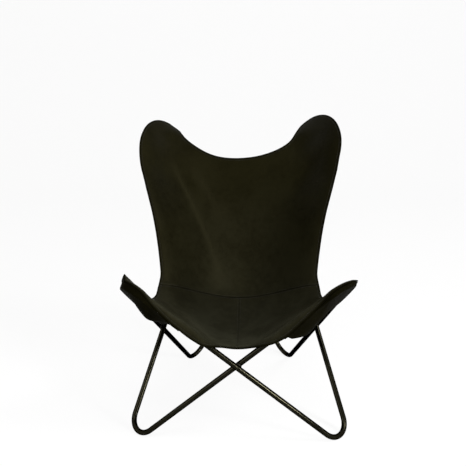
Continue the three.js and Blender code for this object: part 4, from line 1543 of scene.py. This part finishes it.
class SharedGroups:
    """Node groups that several finishes use: leather grain, cloudy mottling and dust."""

    def __init__(self) -> None:
        """Builds each group once."""
        self.grain = self._grain()
        self.mottle = self._mottle()
        self.dust = self._dust()

    @staticmethod
    def _new(name: str, inputs: dict[str, float | None], outputs: Sequence[str]) -> bpy.types.NodeTree:
        """A group with number sockets, and vector sockets where an input has no number."""
        tree = bpy.data.node_groups.new(name, "ShaderNodeTree")
        for label, value in inputs.items():
            kind = "NodeSocketVector" if value is None else "NodeSocketFloat"
            socket = tree.interface.new_socket(label, in_out="INPUT", socket_type=kind)
            if value is not None:
                socket.default_value = value
        for label in outputs:
            tree.interface.new_socket(label, in_out="OUTPUT", socket_type="NodeSocketFloat")
        return tree

    def _grain(self) -> bpy.types.NodeTree:
        """Leather grain: pebbles of a size with valleys between them, fine pores, and long soft creases."""
        tree = self._new("leather_grain", {"Vector": None, "Pebble Scale": 850.0}, ["Pebbles", "Creases"])
        bench = NodeBench(tree)
        source = bench.add("NodeGroupInput").outputs
        fine_noise = {"Vector": source[0], "Scale": 260.0, "Detail": 2.0}
        warp = bench.add("ShaderNodeTexNoise", fine_noise).outputs[1]
        pushed = bench.add("ShaderNodeVectorMath", {0: warp, "Scale": 0.0012}, operation="SCALE").outputs[0]
        bent = bench.add("ShaderNodeVectorMath", {0: source[0], 1: pushed}, operation="ADD").outputs[0]
        pebbles = bench.remap(bench.cells(bent, source[1]), 0.0, 0.32, 0.0, 1.0)
        pores = bench.noise(source[0], 2600.0, 2.0)
        rough = bench.calc("MULTIPLY_ADD", pores, 0.3)
        bench.feed(rough.node.inputs[2], pebbles)
        stretched = bench.add("ShaderNodeMapping", {"Vector": source[0], "Scale": (1.0, 0.5, 0.4)}).outputs[0]
        lines = bench.remap(bench.cells(stretched, 46.0), 0.0, 0.07, 1.0, 0.0)
        patches = bench.remap(bench.noise(source[0], 9.0, 3.0), 0.5, 0.68, 0.0, 1.0)
        sink = bench.add("NodeGroupOutput")
        bench.feed(sink.inputs[0], rough)
        bench.feed(sink.inputs[1], bench.calc("MULTIPLY", lines, patches))
        return tree

    def _mottle(self) -> bpy.types.NodeTree:
        """Cloudy variation in two sizes."""
        tree = self._new("mottle", {"Vector": None, "Scale": 7.0}, ["Share"])
        bench = NodeBench(tree)
        source = bench.add("NodeGroupInput").outputs
        large = bench.noise(source[0], source[1], 5.0, 0.6)
        small = bench.noise(source[0], bench.calc("MULTIPLY", source[1], 9.0), 3.0)
        both = bench.calc("ADD", bench.calc("MULTIPLY", large, 0.7), bench.calc("MULTIPLY", small, 0.3))
        sink = bench.add("NodeGroupOutput")
        bench.feed(sink.inputs[0], bench.remap(both, 0.34, 0.66, 0.0, 1.0))
        return tree

    def _dust(self) -> bpy.types.NodeTree:
        """A thin film of dust on what looks up, thicker in patches."""
        tree = self._new("dust", {"Vector": None, "Amount": 0.1}, ["Mask"])
        bench = NodeBench(tree)
        source = bench.add("NodeGroupInput").outputs
        normal = bench.add("ShaderNodeNewGeometry").outputs["Normal"]
        up = bench.add("ShaderNodeSeparateXYZ", {0: normal}).outputs[2]
        level = bench.remap(up, 0.35, 1.0, 0.0, 1.0)
        patches = bench.remap(bench.noise(source[0], 38.0, 5.0, 0.65), 0.3, 0.75, 0.25, 1.0)
        sink = bench.add("NodeGroupOutput")
        bench.feed(sink.inputs[0], bench.calc("MULTIPLY", bench.calc("MULTIPLY", level, patches), source[1]))
        return tree


class Finish:
    """A material that is being laid out: its bench, its shader and its coordinates."""

    def __init__(self, name: str) -> None:
        """Starts a material.

        Args:
            name: The finish's name.
        """
        self.material = bpy.data.materials.new(name)
        self.material.use_nodes = True
        self.bench = NodeBench(self.material.node_tree)
        self.shader = self.material.node_tree.nodes["Principled BSDF"]
        self.vector = self.bench.add("ShaderNodeTexCoord").outputs["Object"]

    def group(self, tree: bpy.types.NodeTree, **inputs: float) -> bpy.types.bpy_prop_collection:
        """Places a shared group with its own values and gives its outputs."""
        named = {label.replace("_", " "): value for label, value in inputs.items()}
        node = self.bench.add("ShaderNodeGroup", node_tree=tree)
        self.bench.feed(node.inputs["Vector"], self.vector)
        for label, value in named.items():
            self.bench.feed(node.inputs[label], value)
        return node.outputs

    def mask(self, name: str) -> bpy.types.NodeSocket:
        """A mask that is stored in the mesh."""
        return self.bench.add("ShaderNodeAttribute", attribute_name=name).outputs["Fac"]

    def bump(
        self, height: Value, strength: float, depth: float, below: Value | None = None
    ) -> bpy.types.NodeSocket:
        """A bumped normal, on top of another one if it is given. Depth is in metres."""
        node = self.bench.add("ShaderNodeBump", {"Height": height, "Strength": strength, "Distance": depth})
        if below is not None:
            self.bench.feed(node.inputs["Normal"], below)
        return node.outputs[0]

    def set(self, **inputs: Value) -> None:
        """Feeds the shader's sockets, whose names are given with _ for a space."""
        for label, value in inputs.items():
            self.bench.feed(self.shader.inputs[label.replace("_", " ")], value)


@dataclass(frozen=True)
class LeatherColors:
    """Colours of leather: its darker and lighter clouds, and a far lighter colour where sitting has worn it,
    which also paints the seat's sheen.
    """

    dark: Color
    light: Color
    rubbed_and_sheen: Color


# The third colour is far lighter than worn leather alone: it also paints the seat's sheen.
BLACK_LEATHER = LeatherColors((0.0044, 0.0038, 0.001), (0.007, 0.0062, 0.002), (0.034, 0.0334, 0.021))
# Painted shade: a darker copy of the black leather for the pockets, hems and edge roll, which lie in shade
# under the sling's edges.
PAINTED_SHADE_LEATHER = LeatherColors((0.0024, 0.0021, 0.0006), (0.0042, 0.0038, 0.0012), (0.006, 0.0056, 0.0026))


@dataclass(frozen=True)
class LeatherFinish:
    """Black vegetable-tanned leather: its colours, gloss range, grain and dust."""

    name: str
    colors: LeatherColors
    roughness: tuple[float, float] = (0.27, 0.37)
    specular: float = 0.025
    sheen_tint: Color = (0.75, 0.68, 0.32)
    pebble_scale: float = 850.0
    grain_depth: float = 0.00012
    dust: float = 0.008
    dust_color: Color = (0.2, 0.19, 0.17)
    painted_shade_color: Color = (0.0015, 0.0014, 0.0009)

    def build(self, groups: SharedGroups) -> bpy.types.Material:
        """Lays the material.

        Args:
            groups: The shared node groups.

        Returns:
            The material.
        """
        finish = Finish(self.name)
        bench = finish.bench
        grain = finish.group(groups.grain, Pebble_Scale=self.pebble_scale)
        mottle = finish.group(groups.mottle, Scale=6.0)["Share"]
        edge, seam, wear_and_sheen = (finish.mask(name) for name in ("edge", "seam", "wear_and_sheen"))
        colors = self.colors
        color = bench.blend(mottle, (*colors.dark, 1.0), (*colors.light, 1.0))
        # Painted sheen and worn leather: the seat and the small of the back are lightened towards the third
        # colour.
        rubbing_and_sheen = bench.calc("MULTIPLY", wear_and_sheen, bench.remap(mottle, 0.1, 0.9, 0.55, 1.0))
        color = bench.blend(rubbing_and_sheen, color, (*colors.rubbed_and_sheen, 1.0))
        # Painted shade: the grain's valleys, the creases and the leather beside the edges and seams are
        # darkened towards the shade colour.
        valleys = bench.remap(grain["Pebbles"], 0.1, 0.9, 0.35, 0.0)
        sunk = bench.calc("MAXIMUM", valleys, bench.calc("MULTIPLY", grain["Creases"], 0.4))
        darker = bench.calc("MAXIMUM", sunk, bench.calc("MULTIPLY", bench.calc("MAXIMUM", edge, seam), 0.9))
        color = bench.blend(darker, color, (*self.painted_shade_color, 1.0))
        film = finish.group(groups.dust, Amount=self.dust)["Mask"]
        color = bench.blend(film, color, (*self.dust_color, 1.0))
        gloss = bench.remap(mottle, 0.0, 1.0, *self.roughness)
        gloss = bench.calc("SUBTRACT", gloss, bench.calc("MULTIPLY", rubbing_and_sheen, 0.06))
        gloss = bench.calc("ADD", gloss, bench.calc("MULTIPLY", edge, 0.35))
        normal = finish.bump(grain["Creases"], -0.35, 0.0006)
        normal = finish.bump(grain["Pebbles"], 0.5, self.grain_depth, normal)
        finish.set(Base_Color=color, Roughness=gloss, Normal=normal)
        finish.set(Specular_IOR_Level=self.specular, Specular_Tint=(*self.sheen_tint, 1.0))
        return finish.material


@dataclass(frozen=True)
class LacquerFinish:
    """Black lacquer on steel rod, with a warm gloss, a fine orange-peel skin and worn feet.

    It is shaded as a very dark metal, whose colour is that of its gloss, and whose edge tint keeps the pale
    room from greying it where it is seen at a flat angle.
    """

    name: str
    color: Color
    warm: Color
    roughness: tuple[float, float] = (0.13, 0.21)
    edge_tint: Color = (0.12, 0.11, 0.09)
    skin_depth: float = 0.00006
    bare: Color = (0.16, 0.14, 0.11)
    dust: float = 0.01
    dust_color: Color = (0.24, 0.22, 0.19)

    def build(self, groups: SharedGroups) -> bpy.types.Material:
        """Lays the material.

        Args:
            groups: The shared node groups.

        Returns:
            The material.
        """
        finish = Finish(self.name)
        bench = finish.bench
        mottle = finish.group(groups.mottle, Scale=16.0)["Share"]
        color = bench.blend(mottle, (*self.color, 1.0), (*self.warm, 1.0))
        height = bench.add("ShaderNodeSeparateXYZ", {0: finish.vector}).outputs[2]
        low_down = bench.remap(height, 0.0, 0.02, 1.0, 0.0)
        flakes = bench.remap(bench.noise(finish.vector, 190.0, 6.0, 0.7), 0.52, 0.6, 0.0, 1.0)
        worn = bench.calc("MULTIPLY", low_down, flakes)
        color = bench.blend(bench.calc("MULTIPLY", worn, 0.3), color, (*self.bare, 1.0))
        film = finish.group(groups.dust, Amount=self.dust)["Mask"]
        color = bench.blend(film, color, (*self.dust_color, 1.0))
        gloss = bench.remap(mottle, 0.0, 1.0, *self.roughness)
        gloss = bench.calc("ADD", gloss, bench.calc("MULTIPLY", worn, 0.2))
        skin = bench.noise(finish.vector, 420.0, 3.0)
        normal = finish.bump(skin, 0.12, self.skin_depth)
        finish.set(Base_Color=color, Roughness=gloss, Normal=normal)
        finish.set(Metallic=1.0, Specular_Tint=(*self.edge_tint, 1.0))
        return finish.material


@dataclass(frozen=True)
class ThreadFinish:
    """Waxed black thread with the turns of its strands."""

    name: str
    color: Color
    light: Color

    def build(self, groups: SharedGroups) -> bpy.types.Material:
        """Lays the material.

        Args:
            groups: The shared node groups.

        Returns:
            The material.
        """
        finish = Finish(self.name)
        bench = finish.bench
        tilt = {"Vector": finish.vector, "Rotation": (0.6, 0.5, 0.8)}
        tilted = bench.add("ShaderNodeMapping", tilt).outputs[0]
        turns = {"Vector": tilted, "Scale": 700.0, "Distortion": 1.0}
        strands = bench.add("ShaderNodeTexWave", turns).outputs[1]
        mottle = finish.group(groups.mottle, Scale=60.0)["Share"]
        color = bench.blend(mottle, (*self.color, 1.0), (*self.light, 1.0))
        # Painted shade: the grooves between the strands are darkened.
        color = bench.blend(bench.remap(strands, 0.0, 0.5, 0.6, 0.0), color, (0.002, 0.002, 0.0015, 1.0))
        gloss = bench.remap(strands, 0.0, 1.0, 0.7, 0.45)
        finish.set(Base_Color=color, Roughness=gloss, Normal=finish.bump(strands, 0.6, 0.0002))
        finish.set(Specular_IOR_Level=0.3)
        return finish.material


@dataclass(frozen=True)
class TapeFinish:
    """Woven black tape: threads over and under each other."""

    name: str
    color: Color
    light: Color
    thread_scale: float = 320.0

    def build(self, groups: SharedGroups) -> bpy.types.Material:
        """Lays the material.

        Args:
            groups: The shared node groups.

        Returns:
            The material.
        """
        finish = Finish(self.name)
        bench = finish.bench
        waves = []
        for direction in ("X", "Y"):
            inputs = {"Vector": finish.vector, "Scale": self.thread_scale, "Distortion": 0.6}
            waves.append(bench.add("ShaderNodeTexWave", inputs, bands_direction=direction).outputs[1])
        weave = bench.calc("MULTIPLY", *waves)
        mottle = finish.group(groups.mottle, Scale=30.0)["Share"]
        color = bench.blend(mottle, (*self.color, 1.0), (*self.light, 1.0))
        # Painted shade: the gaps between the woven threads are darkened.
        color = bench.blend(bench.remap(weave, 0.0, 0.4, 0.5, 0.0), color, (0.002, 0.002, 0.002, 1.0))
        gloss = bench.remap(weave, 0.0, 1.0, 0.95, 0.75)
        finish.set(Base_Color=color, Roughness=gloss, Normal=finish.bump(weave, 0.7, 0.0004))
        finish.set(Specular_IOR_Level=0.2)
        return finish.material


@dataclass(frozen=True)
class SlingFinishes:
    """The finishes of the sling's pieces."""

    back: bpy.types.Material
    seat: bpy.types.Material
    pocket: bpy.types.Material
    hem: bpy.types.Material
    tape: bpy.types.Material
    thread: bpy.types.Material


def dress(piece: bpy.types.Object, finish: bpy.types.Material, slot: Slot, *nodes: str) -> bpy.types.Object:
    """Gives a piece its finish, sets it on the chair, and hides the solids that it stands for.

    Args:
        piece: The piece.
        finish: Its material.
        slot: The record's material slot, which is not used.
        nodes: The solids that it stands for.

    Returns:
        The same piece.
    """
    piece.data.materials.append(finish)
    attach(piece, "root")
    if nodes:
        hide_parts(*nodes)
    stands_for = ", ".join(nodes) or "no solid"
    log.info("%s: %d points, stands for %s", piece.name, len(piece.data.vertices), stands_for)
    return piece


# Studio


@dataclass(frozen=True)
class SoftLamp:
    """A soft square lamp: its place, where it points, its size (metres) and its power (watts)."""

    name: str
    spot: tuple[float, float, float]
    target: tuple[float, float, float]
    size: float
    power: float

    def build(self) -> bpy.types.Object:
        """Hangs the lamp."""
        data = bpy.data.lights.new(self.name, "AREA")
        data.size = self.size
        data.energy = self.power
        lamp = bpy.data.objects.new(self.name, data)
        lamp.location = self.spot
        direction = Vector(self.target) - Vector(self.spot)
        lamp.rotation_euler = direction.to_track_quat("-Z", "Y").to_euler()
        bpy.context.scene.collection.objects.link(lamp)
        return lamp


@dataclass(frozen=True)
class Studio:
    """A pale sweep of floor and backdrop, soft lamps, and the camera. Metres."""

    camera_spot: tuple[float, float, float] = (0.0316, -2.0663, 1.1353)
    camera_pitch: float = 15.655
    camera_yaw: float = 1.472
    camera_roll: float = -0.342
    focal_pixels: float = 653.8
    image_pixels: float = 466.0
    sensor: float = 36.0
    floor_half_width: float = 9.0
    floor_front: float = -6.0
    sweep_start: float = 3.0
    sweep_radius: float = 2.0
    backdrop_height: float = 7.0
    floor_color: Color = (0.9, 0.9, 0.895)
    floor_white: float = 0.9
    surround: float = 0.36
    surround_seen: float = 0.96
    lamps: tuple[SoftLamp, ...] = (
        SoftLamp("key_lamp", (2.5, -1.0, 3.1), (0.0, 0.0, 0.5), 0.9, 74.0),
        SoftLamp("top_lamp", (0.0, -1.2, 2.9), (0.0, 0.0, 0.4), 1.2, 24.0),
        SoftLamp("fill_lamp", (-2.4, -1.7, 1.7), (0.0, 0.0, 0.45), 1.8, 34.0),
        SoftLamp("side_lamp", (2.84, -2.2, 1.2), (0.0, -0.3, 0.2), 0.6, 112.0),
    )

    def build(self) -> None:
        """Sets up the floor, the surroundings, the lamps and the camera."""
        self._floor()
        self._world()
        for lamp in self.lamps:
            lamp.build()
        self._camera()
        bpy.context.scene.view_settings.view_transform = "Standard"

    def _floor(self) -> None:
        """A floor that sweeps up into a backdrop."""
        angles = np.linspace(0.0, math.pi / 2, 24)
        profile = [(self.floor_front, 0.0)]
        for angle in angles:
            depth = self.sweep_start + self.sweep_radius * math.sin(angle)
            profile.append((depth, self.sweep_radius * (1 - math.cos(angle))))
        profile.append((self.sweep_start + self.sweep_radius, self.backdrop_height))
        points = [(side * self.floor_half_width, y, z) for y, z in profile for side in (LEFT, RIGHT)]
        mesh = bpy.data.meshes.new("floor")
        mesh.from_pydata(points, [], grid_faces(len(profile), 2).tolist())
        mesh.polygons.foreach_set("use_smooth", [True] * len(mesh.polygons))
        floor = bpy.data.objects.new("floor", mesh)
        bpy.context.scene.collection.objects.link(floor)
        mesh.materials.append(self._floor_finish())

    def _floor_finish(self) -> bpy.types.Material:
        """Pale paper that the camera and reflections see close to white, with the chair's shadow."""
        finish = Finish("pale_paper")
        bench = finish.bench
        fibres = bench.noise(finish.vector, 900.0, 3.0)
        shade = bench.remap(bench.noise(finish.vector, 1.5, 2.0), 0.3, 0.7, 0.985, 1.0)
        color = bench.blend(shade, (0.86, 0.86, 0.855, 1.0), (*self.floor_color, 1.0))
        finish.set(Base_Color=color, Roughness=0.9, Normal=finish.bump(fibres, 0.05, 0.0002))
        finish.set(Specular_IOR_Level=0.1)
        seen = self._seen(bench)
        glow = bench.add("ShaderNodeEmission", {"Color": (1.0, 1.0, 1.0, 1.0), "Strength": 1.0}).outputs[0]
        share = bench.calc("MULTIPLY", seen, self.floor_white)
        both = bench.add("ShaderNodeMixShader", {0: share, 1: finish.shader.outputs[0], 2: glow}).outputs[0]
        bench.feed(finish.material.node_tree.nodes["Material Output"].inputs[0], both)
        return finish.material

    @staticmethod
    def _seen(bench: NodeBench) -> bpy.types.NodeSocket:
        """1 for rays of the camera, of reflections and through glass, otherwise 0."""
        path = bench.add("ShaderNodeLightPath").outputs
        mirrored = bench.calc("MAXIMUM", path["Is Glossy Ray"], path["Is Transmission Ray"])
        return bench.calc("MAXIMUM", path["Is Camera Ray"], mirrored)

    def _world(self) -> None:
        """Even surroundings, which the camera and reflections see as white."""
        world = bpy.data.worlds.new("studio")
        world.use_nodes = True
        bpy.context.scene.world = world
        bench = NodeBench(world.node_tree)
        background = world.node_tree.nodes["Background"]
        background.inputs["Color"].default_value = (1.0, 1.0, 1.0, 1.0)
        strength = bench.remap(self._seen(bench), 0.0, 1.0, self.surround, self.surround_seen)
        bench.feed(background.inputs["Strength"], strength)

    def _camera(self) -> None:
        """The camera at the photograph's angle."""
        data = bpy.data.cameras.new("camera")
        data.sensor_width = self.sensor
        data.lens = self.focal_pixels / self.image_pixels * self.sensor
        camera = bpy.data.objects.new("camera", data)
        turn = Matrix.Rotation(math.radians(self.camera_yaw), 4, "Z")
        tilt = Matrix.Rotation(math.radians(90 - self.camera_pitch), 4, "X")
        roll = Matrix.Rotation(math.radians(self.camera_roll), 4, "Z")
        camera.matrix_world = Matrix.Translation(self.camera_spot) @ turn @ tilt @ roll
        bpy.context.scene.collection.objects.link(camera)
        bpy.context.scene.camera = camera


# The chair


@dataclass(frozen=True)
class SheetCut:
    """A leather blank before it was sewn and hung: width, length (metres) and area (square metres)."""

    width: float
    length: float
    area: float


def main() -> None:
    """Builds the chair and the studio."""
    logging.basicConfig(level=logging.INFO, format="%(message)s")
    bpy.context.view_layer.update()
    groups = SharedGroups()
    rod_frame = RodFrame()
    lacquer = LacquerFinish("rod_lacquer", (0.0082, 0.0078, 0.0050), (0.0138, 0.0128, 0.0082))
    bead = LacquerFinish(
        "bead_lacquer",
        (0.010, 0.0092, 0.007),
        (0.017, 0.015, 0.011),
        roughness=(0.3, 0.46),
        skin_depth=0.0006,
    )
    back = LeatherFinish("back_leather", BLACK_LEATHER)
    seat = LeatherFinish("seat_leather", BLACK_LEATHER, roughness=(0.34, 0.48))
    # The pockets, hems and edge roll take the darker leather, which paints their shade.
    pocket = LeatherFinish("pocket_leather", PAINTED_SHADE_LEATHER, roughness=(0.6, 0.75), specular=0.006)
    hem = LeatherFinish("hem_leather", PAINTED_SHADE_LEATHER, roughness=(0.65, 0.78), specular=0.003, dust=0.002)
    tape = TapeFinish("seam_tape", (0.006, 0.006, 0.006), (0.012, 0.012, 0.012))
    thread = ThreadFinish("black_thread", (0.0066, 0.006, 0.003), (0.011, 0.0102, 0.006))
    finishes = SlingFinishes(
        back=back.build(groups),
        seat=seat.build(groups),
        pocket=pocket.build(groups),
        hem=hem.build(groups),
        tape=tape.build(groups),
        thread=thread.build(groups),
    )
    made = rod_frame.build(lacquer.build(groups), bead.build(groups))
    made += Sling(SlingShape(rod_frame)).build(finishes)
    Studio().build()


if __name__ == "__main__":
    main()
